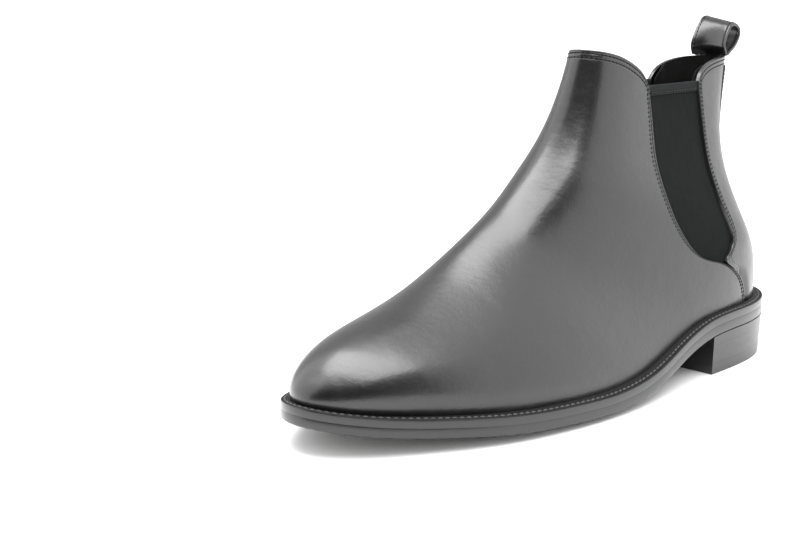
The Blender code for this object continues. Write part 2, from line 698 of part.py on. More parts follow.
def above(height, rise):
    """A height function raised by a constant."""
    return lambda x: height(x) + rise


def add_sole(sole_leather, edge, thread):
    seat = plan_loop(welt_top)
    rim_line = offset_loop(seat, welt_width(seat[:, 0]))
    foot = offset_loop(plan_loop(foot_of_upper), SLACK)
    band("welt", rim_line, offset_loop(seat, 1.5 * GAP), foot_of_upper, welt_top, edge, foot)
    add_thread(offset_loop(seat, welt_width(seat[:, 0]) * THREAD_PLACE), thread)
    outsole = slab("outsole", paired(rim_line), sole_low, sole_top, sole_leather, tread_crown)
    return rim_line, outsole


def add_inside(fibre, cork, foam, steel, sock):
    """Insole board with its rib, cork, shank, heel pad and sock."""
    inside = cavity_loop(insole_low)
    slab("insole_board", paired(inside), insole_low, insole_top, fibre)
    rib_outer, rib_inner = offset_loop(inside, -RIB_INSET), offset_loop(inside, -RIB_INSET - RIB)
    rib_top = above(insole_low, -GAP)
    band("insole_rib", rib_outer, rib_inner, foot_of_upper, rib_top, fibre)
    filler = stretch(offset_loop(rib_inner, -GAP), CORK_FROM, CORK_TO)
    slab("cork_filler", filler, foot_of_upper, rib_top, cork)
    x = np.linspace(SHANK_FROM, SHANK_TO, 12)
    shank = [np.column_stack([x, np.full(len(x), y)]) for y in (-SHANK_HALF, SHANK_HALF)]
    slab("shank", shank, above(foot_of_upper, GAP), above(foot_of_upper, GAP + SHANK), steel)

    pad = stretch(offset_loop(cavity_loop(insole_top), -HEEL_PAD_INSET), 0.0, HEEL_LENGTH - HEEL_PAD_SHORT)
    slab("heel_cushion", pad, above(insole_top, GAP), above(insole_top, GAP + HEEL_PAD), foam)

    def sock_low(x):
        return insole_top(x) + GAP + np.interp(x, SOCK_RAMP, (HEEL_PAD + GAP, 0))

    slab("sock_liner", paired(cavity_loop(sock_low)), sock_low, above(sock_low, SOCK), sock)


def lift_height(share):
    """Height at a share of the way from the top of the top piece to the outsole."""
    return lambda x: TOP_PIECE + (sole_seat(x) - TOP_PIECE) * share


def add_heel(rim_line, outsole, edge, rubber, steel):
    def outline(height):
        return cut_at_breast(rim_line, HEEL_TAPER * (1 - height / sole_seat(0.0)))

    lift("heel_top_piece", [outline(0.0), outline(TOP_PIECE)], lambda x: 0 * x,
         lambda x: 0 * x + TOP_PIECE - GAP, rubber)
    cutter = pins("nail_holes", NAILS, NAIL_HOLE, NAIL_HOLE_FOOT, NAIL_HOLE_TOP, steel)
    cutter.hide_render = True
    cutter.display_type = "WIRE"
    stack = [outsole]
    for i in range(LIFTS):
        low, high = lift_height(i / LIFTS), lift_height((i + 1) / LIFTS)
        loops = [outline(low(0.0)), outline(high(0.0))]
        stack.append(lift(f"heel_lift_{i + 1}", loops, low, above(high, -GAP), edge))
    for piece in stack:
        hole = piece.modifiers.new("nail_holes", "BOOLEAN")
        hole.operation = "DIFFERENCE"
        hole.object = cutter
        hole.solver = "EXACT"
    for i, place in enumerate(NAILS):
        pins(f"heel_nail_{i + 1}", [place], NAIL_RADIUS, TOP_PIECE + GAP, sole_top(HEEL_CENTRE) - NAIL_SHORT, steel)


def sole_seat(x):
    """Top of the heel stack: the straight part of the outsole's underside, less the gap."""
    back, breast = sole_low(0.0), sole_low(HEEL_LENGTH)
    return back + (breast - back) * np.asarray(x, float) / HEEL_LENGTH


def add_thread(line, look):
    data = bpy.data.curves.new("welt_thread", "CURVE")
    data.dimensions = "3D"
    data.bevel_depth = THREAD_RADIUS * MM
    data.bevel_resolution = 1
    data.materials.append(look)
    points = world(np.column_stack([line, welt_top(line[:, 0]) + GAP + THREAD_RADIUS + 0.1]))
    run = data.splines.new("POLY")
    run.points.add(len(points) - 1)
    for point, place in zip(run.points, points):
        point.co = (*place, 1)
    run.use_cyclic_u = True
    made = bpy.data.objects.new("welt_thread", data)
    bpy.context.scene.collection.objects.link(made)


def main():
    for thing in list(bpy.data.objects):
        bpy.data.objects.remove(thing, do_unlink=True)
    calf = material("polished_calf", (0.012, 0.012, 0.013), 0.28)
    elastic = material("gore_elastic", (0.016, 0.019, 0.020), 0.85)
    tape = material("gore_tape", (0.02, 0.022, 0.024), 0.75)
    lining = material("lining_leather", (0.014, 0.014, 0.014), 0.6)
    stiff = material("stiffener_board", (0.55, 0.48, 0.38), 0.8)
    sole_leather = material("sole_leather", (0.05, 0.045, 0.04), 0.5)
    edge = material("sole_edge", (0.01, 0.01, 0.011), 0.35)
    fibre = material("insole_fibre", (0.42, 0.33, 0.24), 0.85)
    cork = material("cork", (0.5, 0.34, 0.2), 0.9)
    foam = material("foam", (0.75, 0.72, 0.62), 0.9)
    steel = material("steel", (0.5, 0.5, 0.52), 0.35, 1.0)
    rubber = material("rubber", (0.012, 0.012, 0.012), 0.7)
    thread = material("thread", (0.012, 0.012, 0.012), 0.6)
    add_upper(calf, elastic, tape, lining, stiff)
    add_pull_loop(calf)
    rim_line, outsole = add_sole(sole_leather, edge, thread)
    add_inside(fibre, cork, foam, steel, lining)
    add_heel(rim_line, outsole, edge, rubber, steel)


main()
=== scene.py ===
"""A left chelsea boot in polished black calf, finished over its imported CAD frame.

Tables are in millimetres with x counted forward from the heel's back edge; meshes are
in metres with the origin in the middle of the heel's ground face. A place on the
upper's surface is (k, theta): k counts the ribs from the collar to the toe tip, theta
is the angle round the rib, 0 at the ridge, positive on the outer side, pi at the back
seam and under the foot.
"""
import math

import bmesh
import bpy
import numpy as np
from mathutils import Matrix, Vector

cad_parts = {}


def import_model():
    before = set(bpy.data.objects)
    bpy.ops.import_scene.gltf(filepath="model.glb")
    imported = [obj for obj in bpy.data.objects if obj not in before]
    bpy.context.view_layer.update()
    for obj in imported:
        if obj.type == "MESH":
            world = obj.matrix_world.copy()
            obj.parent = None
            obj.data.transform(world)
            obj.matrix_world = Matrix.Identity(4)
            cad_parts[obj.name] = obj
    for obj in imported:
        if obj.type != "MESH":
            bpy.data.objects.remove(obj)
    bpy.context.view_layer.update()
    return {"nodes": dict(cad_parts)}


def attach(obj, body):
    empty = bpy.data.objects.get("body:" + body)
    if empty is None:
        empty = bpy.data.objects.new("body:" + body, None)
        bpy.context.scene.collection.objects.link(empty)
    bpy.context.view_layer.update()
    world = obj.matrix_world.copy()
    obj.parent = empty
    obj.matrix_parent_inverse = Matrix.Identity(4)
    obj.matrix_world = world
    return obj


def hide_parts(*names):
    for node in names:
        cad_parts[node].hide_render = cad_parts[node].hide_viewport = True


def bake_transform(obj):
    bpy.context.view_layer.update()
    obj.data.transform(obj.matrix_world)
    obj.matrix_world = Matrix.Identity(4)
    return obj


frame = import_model()

MM = 0.001
HEEL_LENGTH = 76.0
HEEL_CENTRE = HEEL_LENGTH / 2
BREAST_HOLLOW = 2.0
HEEL_TAPER = 1.2
TOP_PIECE = 5.5
LIFTS = 3
COLLAR_BACK = 149.5
HINGE = (10.0, 152.7)
STRAP_WIDTH, STRAP, STRAP_RISE, STRAP_BELLY, STRAP_MIDDLE = 20.4, 2.2, 15.6, 5.7, -2.0
STRAP_TILT, STRAP_TWIST = 0.19, 0.24  # fall and forward turn of its lateral side at the top
TAB_SHARE = 0.52  # width of the sewn-in ends against the free loop
STRAP_FACE = STRAP / 2 * 0.82  # from its middle line to its leather face
STRAP_BOW, STRAP_BOW_LOST, STRAP_BOW_RUN = 0.052, 0.046, 15.0  # curve across it, less further up
TAB_HEIGHT = 142.0
STRAP_LEAN = math.radians(28.0)
UPPER = 1.4

# Ridge x, y, z | far end x, y, z | half width | skew | square | bow
RIBS = (
    (129.5, 3.8, 174.4, 3.6, -0.4, 176.0, 14.5, -0.14, 0.51, 0),
    (135.5, 3.3, 152.2, 7.7, -1.4, 149.5, 14.8, -0.14, 0.49, 0),
    (143.0, 2.2, 130.6, 12.2, -2.0, 120.5, 18.3, -0.10, 0.40, 0),
    (152.5, 0.9, 113.8, 12.8, -0.4, 92.5, 24.1, -0.02, 0.33, 0),
    (163.2, -0.8, 101.1, 6.3, 2.9, 65.5, 30.9, 0.10, 0.30, 0),
    (175.7, -3.1, 89.4, 1.2, 5.8, 37.0, 33.8, 0.18, 0.30, 0),
    (190.3, -5.4, 79.2, 21.5, 6.5, -8.0, 37.4, 0.18, 0.19, 0),
    (205.7, -6.6, 68.6, 89.5, 4.0, -27.0, 44.6, 0.15, 0.07, 0),
    (222.0, -7.6, 59.0, 158.3, -1.0, -30.0, 46.4, 0.10, 0.00, 0),
    (240.3, -9.2, 51.6, 211.7, -6.1, -21.5, 41.6, 0.05, 0.00, 0),
    (257.8, -10.8, 46.0, 246.1, -10.1, -8.5, 33.8, 0.00, 0.00, 3),
    (272.3, -11.6, 40.2, 268.9, -11.7, 3.0, 24.0, 0.00, 0.00, 10),
    (281.8, -11.9, 33.8, 280.2, -12.3, 10.0, 12.8, 0.00, 0.00, 21),
    (285.0, -12.2, 30.6, 283.0, -12.5, 12.0, 0.0, 0.00, 0.00, 27),
)
WIDTH = 6  # the column that changes sign past the toe tip
TIP = len(RIBS) - 1

# Edge of the outsole's underside, and how far the tread bulges below it: x and z
SOLE_LINE = ((0, 20.9), (38, 20.1), (76, 18.9), (100, 14.1), (130, 6.3), (160, 2.9), (190, 3.0), (215, 3.7),
             (245, 6.0), (275, 9.2), (302, 14.2))
TREAD_CROWN = ((95, 0.0), (130, 1.0), (160, 2.6), (190, 3.0), (215, 2.9), (245, 1.7), (275, 0.5), (302, 0.0))

# Edges of the pieces in the side view, x and z
COLLAR_FRONT = ((135.0, 156.5), (128.0, 155.3), (119.0, 153.0), (110.0, 149.2), (102.3, 144.0), (98.6, 138.7))
GORE_FRONT = ((98.6, 138.7), (97.9, 128.0), (98.3, 118.0), (100.2, 104.0), (100.0, 93.0), (96.8, 81.0),
              (90.0, 69.5), (81.5, 60.5), (71.0, 54.8), (60.0, 52.0))
GORE_BACK = ((50.4, 138.7), (49.4, 126.0), (49.6, 112.0), (50.8, 98.0), (51.0, 88.0), (49.6, 74.0),
             (47.4, 65.0), (49.6, 58.4), (56.0, 52.8))
COLLAR_REAR = ((50.4, 138.7), (48.2, 142.0), (43.0, 145.6), (35.0, 147.9), (22.0, 149.3), (7.7, COLLAR_BACK))
SEAM = ((60.0, 52.0), (48.5, 47.6), (40.0, 41.0), (36.2, 34.0), (34.5, 22.0))
UNDERLAP = ((56.0, 52.8), (47.9, 48.0), (44.4, 45.0), (44.2, 38.0), (44.0, 31.0), (43.0, 22.0))
PANEL_FRONT = ((102.6, 134.4), (102.4, 122.0), (105.0, 106.0), (105.6, 93.0), (101.2, 77.5), (91.5, 64.0),
               (79.0, 55.0), (64.0, 50.6))
PANEL_BACK = ((45.2, 134.4), (44.4, 122.0), (45.2, 106.0), (46.0, 90.0), (44.4, 73.0), (42.4, 63.0),
              (46.0, 54.0))
BACKSTAY_HALF = ((26.0, 15.5), (50.0, 10.5), (90.0, 8.0), (145.0, 9.0))  # z, half width
BACKSTAY_TOP = COLLAR_BACK - 4.5
BACKSTAY_LIFT = 0.85  # how far it stands out of the quarters

# Grid lines near a sewn edge, as distances from it. Two of them carry the stitch rows.
SEWN = (0, 0.18, 0.42, 0.8, 1.2, 1.6, 2.0, 2.5, 3.1, 3.6, 4.1, 4.9, 6.4)
FIRST_ROW = 5
STITCH_ROWS = (FIRST_ROW, 9)
PULL_WIDTH = 0.42  # how far to each side a stitch row pulls the leather in
HOLE = 0.4  # radius of a needle hole
ON_LEATHER = 0.12  # depth of a thread's middle line
EDGE_POINTS = 240
PLAIN = (0, 0.2, 0.5, 1.2)

# The welt's groove, as shares of the welt's width and depths, and the share its seam lies at
WELT_GROOVE = ((0.50, 0.0), (0.56, 0.25), (0.62, 0.42), (0.68, 0.25), (0.74, 0.0))
WELT_SEAM = 0.62
WELT_STITCH = dict(pitch=3.1, fill=0.8, radius=0.42, rise=0.22)
TREAD_THICK = 1.5

# The studio, in metres and degrees
SIGHT = (-0.70857, -0.67848, -0.19387)  # direction of the camera
EYE = (0.60896, 0.38268, 0.18146)
LENS = 62.413
FLOOR_HALF = 6.0
SURROUND = 2.1  # brightness of the white surroundings
SOFTBOX = dict(place=(0.37, 0.04, 1.05), target=(0.37, 0.04, 0), wide=0.5, high=1.75, radiance=7.9)
# cloths seen only in the leather's reflections: painted darker reflections from their sides
REFLECTION_CLOTHS = (("black_reflection_cloth", 0.004, (-22, 86), (0.5, 47)), ("grey_reflection_cloth", 0.35, (205, 272), (-3, 66)),
         ("pale_reflection_cloth", 0.6, (160, 205), (-3, 50)))  # name, shade, azimuths, elevations


# ---------------------------------------------------------------- curves and surface

def spline(knots, rows, mirrored=()):
    """Natural cubic spline through the rows, as a function of the knot value."""
    knots = np.asarray(knots, float)
    rows = np.asarray(rows, float).reshape(len(knots), -1)
    if len(mirrored):
        sign = np.ones(rows.shape[1])
        sign[list(mirrored)] = -1
        knots = np.concatenate([knots, 2 * knots[-1] - knots[-2::-1]])
        rows = np.vstack([rows, rows[-2::-1] * sign])
    step = np.diff(knots)
    slope = np.diff(rows, axis=0) / step[:, None]
    count = len(knots)
    system = np.eye(count)
    right = np.zeros_like(rows)
    for i in range(1, count - 1):
        system[i, i - 1:i + 2] = step[i - 1], 2 * (step[i - 1] + step[i]), step[i]
        right[i] = 6 * (slope[i] - slope[i - 1])
    bend = np.linalg.solve(system, right)

    def at(value):
        value = np.clip(np.asarray(value, float), knots[0], knots[-1])
        i = np.clip(np.searchsorted(knots, value, side="right") - 1, 0, count - 2)
        h = step[i][..., None]
        b = (value - knots[i])[..., None] / h
        a = 1 - b
        cubic = (a ** 3 - a) * bend[i] + (b ** 3 - b) * bend[i + 1]
        return a * rows[i] + b * rows[i + 1] + cubic * h * h / 6

    return at


def lengths(points):
    """Length along a polyline, at each of its points."""
    return np.concatenate([[0], np.cumsum(np.linalg.norm(np.diff(points, axis=0), axis=1))])


def along(points):
    """Smooth curve through the points, as a function of the fraction of its length."""
    points = np.asarray(points, float)
    length = lengths(points)
    return spline(length / length[-1], points)


rib_at = spline(range(len(RIBS)), RIBS, mirrored=(WIDTH,))
sole_line_at = spline([x for x, _ in SOLE_LINE], [z for _, z in SOLE_LINE])


def surface(k, theta):
    """Point of the outer surface of the upper, in table millimetres."""
    k, theta = np.broadcast_arrays(np.asarray(k, float), np.asarray(theta, float))
    rib = rib_at(k)
    turn = np.cos(theta)
    part = (1 - turn) / 2
    point = rib[..., 0:3] + (rib[..., 3:6] - rib[..., 0:3]) * part[..., None]
    width, skew, square, bow = (rib[..., i] for i in range(WIDTH, WIDTH + 4))
    point[..., 0] += bow * part * (1 - part)
    point[..., 1] += width * np.sin(theta) * (1 - skew * turn + square * turn * turn)
    return point


def outward(k, theta):
    """Unit normal of the surface."""
    small = 1e-3
    near = np.minimum(k, TIP - 0.05)
    along_k = surface(near + small, theta) - surface(near - small, theta)
    along_theta = surface(near, theta + small) - surface(near, theta - small)
    normal = np.cross(along_k, along_theta)
    return normal / np.maximum(np.linalg.norm(normal, axis=-1, keepdims=True), 1e-12)


def skin(k, theta, depth=0.0):
    """Point of the surface, moved inwards by depth."""
    k, theta = np.broadcast_arrays(np.asarray(k, float), np.asarray(theta, float))
    return surface(k, theta) - outward(k, theta) * np.asarray(depth, float)[..., None]


def bisect(low, high, ahead, steps=40):
    """The place between low and high up to which ahead(place) is true, for arrays."""
    for _ in range(steps):
        place = (low + high) / 2
        further = ahead(place)
        low, high = np.where(further, place, low), np.where(further, high, place)
    return place


def locate(points):
    """(k, theta) on the outer side of the surface for points of the side view."""
    x, z = np.asarray(points, float).T

    def ahead(k):
        rib = rib_at(k)
        return (rib[:, 3] - rib[:, 0]) * (z - rib[:, 2]) - (rib[:, 5] - rib[:, 2]) * (x - rib[:, 0]) > 0

    k = bisect(np.zeros(len(x)), np.full(len(x), float(TIP)), ahead)
    rib = rib_at(k)
    run, fall = rib[:, 3] - rib[:, 0], rib[:, 5] - rib[:, 2]
    part = ((x - rib[:, 0]) * run + (z - rib[:, 2]) * fall) / (run * run + fall * fall)
    return np.stack([k, np.arccos(np.clip(1 - 2 * part, -1, 1))], axis=1)


def level(k, height, depth=0.0):
    """theta at which each rib k passes the height, which is a function of x."""
    def over(theta):
        point = skin(k, theta, depth)
        return point[:, 2] > height(point[:, 0])

    return bisect(np.zeros(len(k)), np.full(len(k), np.pi), over)


def waist(x, heel, fore):
    """Value that goes from its heel size to its forepart size along the waist."""
    return np.interp(x, (HEEL_LENGTH, 165.0), (heel, fore))


def sole_low(x):
    return sole_line_at(x)[..., 0]


def sole_top(x):
    return sole_low(x) + waist(x, 5.0, 4.3)


def sole_middle(x):
    return sole_low(x) + (sole_top(x) - sole_low(x)) * 0.5


def upper_foot(x):
    """Where the upper meets the outsole, out of sight behind the welt."""
    return sole_top(x) + 0.4


def welt_top(x):
    return sole_top(x) + waist(x, 4.1, 3.9)


def insole_top(x):
    return sole_top(x) + 6.7


def tread_crown(x):
    return np.interp(x, *zip(*TREAD_CROWN))


def welt_width(x):
    return np.interp(x, (HEEL_LENGTH, 165.0, 225.0, 280.0), (5.0, 6.8, 6.8, 4.2))


# ---------------------------------------------------------------- grids on the surface

def on_path(path, distance):
    """(k, theta) at distances along a path of (k, theta)."""
    length = lengths(surface(path[:, 0], path[:, 1]))
    return np.stack([np.interp(distance, length, column) for column in path.T], axis=1)


def spread(path, count):
    length = lengths(surface(path[:, 0], path[:, 1]))
    return on_path(path, np.linspace(0, length[-1], count))


def back_rib(height, depth=0.0):
    """k of the rib whose far end is at the height."""
    k = np.linspace(0.0, 8.0, 8001)
    point = skin(k, np.full(len(k), np.pi), depth)
    return k[np.argmax(point[:, 2] < height(point[:, 0]))]


def rim(height, depth=0.0, count=900):
    """(k, theta) along the outer side at one height, from the heel back to the toe tip."""
    first = back_rib(height, depth)
    k = first + (TIP - first) * np.linspace(0, 1, count) ** 2
    theta = level(k, height, depth)
    theta[0] = np.pi
    return np.stack([k, theta], axis=1)


def trace(points):
    """(k, theta) evenly along a side-view curve."""
    return spread(locate(along(points)(np.linspace(0, 1, 300))), EDGE_POINTS)


def coons(top, bottom, left, right):
    """Grid between four edges; left and right run from top to bottom."""
    u = np.linspace(0, 1, len(top))[None, :, None]
    v = np.linspace(0, 1, len(left))[:, None, None]
    ruled = (1 - v) * top[None] + v * bottom[None] + (1 - u) * left[:, None] + u * right[:, None]
    corners = ((1 - u) * (1 - v) * top[0] + u * (1 - v) * top[-1] + (1 - u) * v * bottom[0]
               + u * v * bottom[-1])
    return ruled - corners


def stations(total, near_start, near_end, inner):
    """Distances along a line: fixed ones at both ends and evenly spaced ones between."""
    first, last = np.array(near_start, float), total - np.array(near_end, float)[::-1]
    between = np.linspace(first[-1], last[0], inner + 2)[1:-1]
    return np.concatenate([first, between, last])


def patch(top, bottom, left, right, columns, rows):
    """Grid of (k, theta) whose outer lines keep fixed distances from its edges.

    columns and rows are (distances at the start, distances at the end, lines between).
    """
    dense = coons(*(spread(edge, 161) for edge in (top, bottom, left, right)))
    ruled = []
    for row in dense:
        total = lengths(surface(row[:, 0], row[:, 1]))[-1]
        ruled.append(on_path(row, stations(total, *columns)))
    ruled = np.array(ruled)
    result = []
    for column in ruled.transpose(1, 0, 2):
        total = lengths(surface(column[:, 0], column[:, 1]))[-1]
        result.append(on_path(column, stations(total, *rows)))
    return np.array(result).transpose(1, 0, 2)


def across_middle(half):
    """A grid whose first column is on the ridge or the back seam, with its mirror image."""
    return np.concatenate([half[:, :0:-1], half * np.array([1, -1])], axis=1)


def edge_distance(grid, side):
    """Distance of each grid place from one side of its grid, along the grid lines."""
    point = surface(grid[..., 0], grid[..., 1])
    if side in ("top", "bottom"):
        point = point.transpose(1, 0, 2)
    if side in ("right", "bottom"):
        point = point[:, ::-1]
    step = np.linalg.norm(np.diff(point, axis=1), axis=2)
    far = np.concatenate([np.zeros((len(step), 1)), np.cumsum(step, axis=1)], axis=1)
    if side in ("right", "bottom"):
        far = far[:, ::-1]
    return far.T if side in ("top", "bottom") else far


def round_over(distance, radius=0.5):
    """Depth of a rounded edge."""
    inside = np.clip(radius - distance, 0, radius)
    return radius - np.sqrt(radius ** 2 - inside ** 2)


def sewn_edge(distance, rows=2):
    """Depth next to a sewn edge: rounded, and pulled in along its stitch rows."""
    depth = round_over(distance)
    for row in STITCH_ROWS[:rows]:
        depth = depth + 0.24 * np.exp(-((distance - SEWN[row]) / PULL_WIDTH) ** 2)
    return depth - 0.08 * np.exp(-((distance - 2.6) / 0.5) ** 2) * (rows == 2)


# ---------------------------------------------------------------- meshes

def add(name, data):
    """A new object in the scene."""
    made = bpy.data.objects.new(name, data)
    bpy.context.scene.collection.objects.link(made)
    return made


def world(points):
    """Table millimetres to metres round the heel's middle."""
    return (np.asarray(points, float) - np.array([HEEL_CENTRE, 0, 0])) * MM


def show(name, vertices, faces, look, body="boot", uv=None, slot=None, sharp=50):
    """A smooth-shaded piece that rides on a body. uv holds one pair in metres per vertex."""
    data = bpy.data.meshes.new(name)
    data.from_pydata(np.asarray(vertices).tolist(), [], faces)
    if uv is not None:
        layer = data.uv_layers.new(name="metres")
        corner = np.zeros(len(data.loops), int)
        data.loops.foreach_get("vertex_index", corner)
        layer.data.foreach_set("uv", np.asarray(uv, np.float32)[corner].ravel())
    mesh = bmesh.new()
    mesh.from_mesh(data)
    bmesh.ops.recalc_face_normals(mesh, faces=mesh.faces)
    mesh.to_mesh(data)
    mesh.free()
    data.materials.append(look)
    data.shade_smooth()
    data.set_sharp_from_angle(angle=math.radians(sharp))
    piece = add(name, data)
    if body:
        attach(piece, body)
    return piece


def shell_faces(rows, columns):
    """Faces of a closed body made of two grids of the same size."""
    size = rows * columns
    faces = []
    for i in range(rows - 1):
        for j in range(columns - 1):
            a = i * columns + j
            faces.append((a, a + 1, a + columns + 1, a + columns))
            faces.append((a + size + columns, a + size + columns + 1, a + size + 1, a + size))
    border = [j for j in range(columns)] + [i * columns + columns - 1 for i in range(1, rows)]
    border += [(rows - 1) * columns + j for j in range(columns - 2, -1, -1)]
    border += [i * columns for i in range(rows - 2, 0, -1)]
    for a, b in zip(border, border[1:] + border[:1]):
        faces.append((a, a + size, b + size, b))
    return faces


def grid_uv(points):
    """Distances along the grid lines, in metres."""
    across = np.linalg.norm(np.diff(points, axis=1), axis=2)
    down = np.linalg.norm(np.diff(points, axis=0), axis=2)
    u = np.concatenate([np.zeros((len(points), 1)), np.cumsum(across, axis=1)], axis=1)
    v = np.concatenate([np.zeros((1, points.shape[1])), np.cumsum(down, axis=0)], axis=0)
    return np.stack([u, v], axis=2) * MM


def shell(name, outer, inner, look, **more):
    """A closed piece between an outer and an inner grid of points."""
    rows, columns = outer.shape[:2]
    vertices = world(np.concatenate([outer.reshape(-1, 3), inner.reshape(-1, 3)]))
    uv = grid_uv(outer).reshape(-1, 2)
    return show(name, vertices, shell_faces(rows, columns), look, uv=np.vstack([uv, uv]), **more)


def leather(name, grid, look, thick, depth=0.0, hem=None, **more):
    """A piece that follows the surface under a grid; hem is the rounding of its inner face."""
    k, theta = grid[..., 0], grid[..., 1]
    depth = np.broadcast_to(depth, k.shape)
    layers = [skin(k, theta, depth), skin(k, theta, depth + thick - (0 if hem is None else hem))]
    for points in layers:
        points[..., 2] = np.maximum(points[..., 2], upper_foot(points[..., 0]))
    return shell(name, *layers, look, **more)


def surface_path(grid_line, depth=0.0):
    """Points and normals along a line of (k, theta)."""
    k, theta = grid_line[:, 0], grid_line[:, 1]
    return skin(k, theta, depth), outward(k, theta)


def stitch_rings(start, end, normal, radius, rise):
    """The six-cornered rings of one stitch that arches out of the leather."""
    length = np.linalg.norm(end - start)
    tangent = (end - start) / length
    side = np.cross(normal, tangent)
    rings = []
    for share, width, lift in ((0, 0.45, -1.3), (0.1, 0.85, -0.2), (0.3, 1, 0.7), (0.5, 1, 1), (0.7, 1, 0.7),
                               (0.9, 0.85, -0.2), (1, 0.45, -1.3)):
        middle = start + tangent * share * length + normal * lift * rise
        rings.append([middle + radius * width * (math.cos(a) * side + math.sin(a) * normal)
                      for a in np.linspace(0, 2 * math.pi, 6, endpoint=False)])
    return rings


class Sewing:
    """Collects stitches and needle holes, which become one piece."""

    # near-black material without reflection for the needle holes: painted shade
    dark = None

    def __init__(self):
        self.vertices = []
        self.faces = []
        self.holes = set()

    def row(self, points, normals, pitch=2.1, fill=0.7, radius=0.28, rise=0.16, closed=False):
        """A row of stitches along a path in table millimetres."""
        if closed:
            points, normals = (np.vstack([line, line[:1]]) for line in (points, normals))
        length = lengths(points)
        count = max(1, round(length[-1] / pitch))
        for i in range(count):
            ends = (i + np.array([0.5 - fill / 2, 0.5 + fill / 2])) * length[-1] / count
            start, end = (np.array([np.interp(d, length, column) for column in points.T]) for d in ends)
            normal = np.array([np.interp(ends.mean(), length, column) for column in normals.T])
            normal /= np.linalg.norm(normal)
            self.stitch(stitch_rings(start, end, normal, radius, rise))
            self.hole(end + (end - start) * (1 / fill - 1) / 2, end - start, normal)

    def hole(self, middle, tangent, normal):
        """The needle hole between two stitches: a shallow dimple, coloured near black as painted shade."""
        tangent = tangent / np.linalg.norm(tangent)
        side = np.cross(normal, tangent)
        first = len(self.faces)
        self.stitch([[middle + size * (math.cos(a) * tangent + math.sin(a) * side) - normal * sink
                      for a in np.linspace(0, 2 * math.pi, 8, endpoint=False)]
                     for sink, size in ((0.02, HOLE), (0.3, HOLE / 2))])
        self.holes.update(range(first, len(self.faces)))

    def stitch(self, rings):
        """A closed tube through rings of points."""
        base = len(self.vertices)
        sides = len(rings[0])
        self.vertices += [point for ring in rings for point in ring]
        for i in range(len(rings) - 1):
            for j in range(sides):
                a, b = base + i * sides + j, base + i * sides + (j + 1) % sides
                self.faces.append((a, b, b + sides, a + sides))
        self.faces.append(tuple(range(base + sides - 1, base - 1, -1)))
        last = base + (len(rings) - 1) * sides
        self.faces.append(tuple(range(last, last + sides)))

    def make(self, name, look, **more):
        piece = show(name, world(self.vertices), self.faces, look, **more)
        # the needle holes get the near-black material, their painted shade
        piece.data.materials.append(self.dark)
        for i in self.holes:
            piece.data.polygons[i].material_index = 1
        return piece


# ---------------------------------------------------------------- plan outlines

def offset_loop(loop, distance):
    """A closed plan outline moved outwards; it runs anticlockwise."""
    edge = np.roll(loop, -1, axis=0) - np.roll(loop, 1, axis=0)
    normal = np.stack([edge[:, 1], -edge[:, 0]], axis=1)
    normal /= np.linalg.norm(normal, axis=1, keepdims=True)
    return loop + normal * np.broadcast_to(distance, len(loop))[:, None]


def plan_loop(height, depth=0.0, count=240):
    """Plan outline of the surface at a height: heel back, inner side, toe tip, outer side."""
    path = rim(height, depth)
    sides = []
    for side in (-1, 1):
        point = skin(path[:, 0], side * path[:, 1], depth)
        length = lengths(point)
        wanted = np.linspace(0, length[-1], count)
        sides.append(np.stack([np.interp(wanted, length, column) for column in point.T[:2]], axis=1))
    inner, outer = sides
    return np.concatenate([inner, outer[-2:0:-1]])


def ring_faces(rings, size):
    """Side faces between successive closed rings of one size."""
    faces = []
    for i in range(rings - 1):
        for j in range(size):
            a, b = i * size + j, i * size + (j + 1) % size
            faces.append((a, b, b + size, a + size))
    return faces


def sweep(name, loop, profile, look, **more):
    """A band round an outline. The profile holds (offset, height) functions of x, in order."""
    rings = []
    for offset, height in profile:
        moved = offset_loop(loop, offset(loop[:, 0]))
        rings.append(np.column_stack([moved, height(moved[:, 0])]))
    size = len(loop)
    faces = [tuple(v % (len(rings) * size) for v in face) for face in ring_faces(len(rings) + 1, size)]
    around = lengths(np.vstack([rings[0], rings[0][:1]]))[:-1]
    uv = [np.stack([around, np.full(size, 2.0 * i)], axis=1) * MM for i in range(len(rings))]
    return show(name, world(np.vstack(rings)), faces, look, uv=np.vstack(uv), **more)


def across_loop(loop, height, columns, crown=None):
    """Rows of points across an outline, from its heel end to its toe end."""
    half = len(loop) // 2
    rows = []
    shares = np.linspace(0, 1, columns)
    for i in range(half + 1):
        inner, outer = loop[i], loop[-i if i else 0]
        places = inner + (outer - inner) * shares[:, None]
        z = height(places[:, 0])
        if crown:
            z = z - crown(places[:, 0]) * (1 - np.abs(2 * shares - 1) ** 4)
        rows.append(np.column_stack([places, z]))
    return np.array(rows)


# ---------------------------------------------------------------- materials

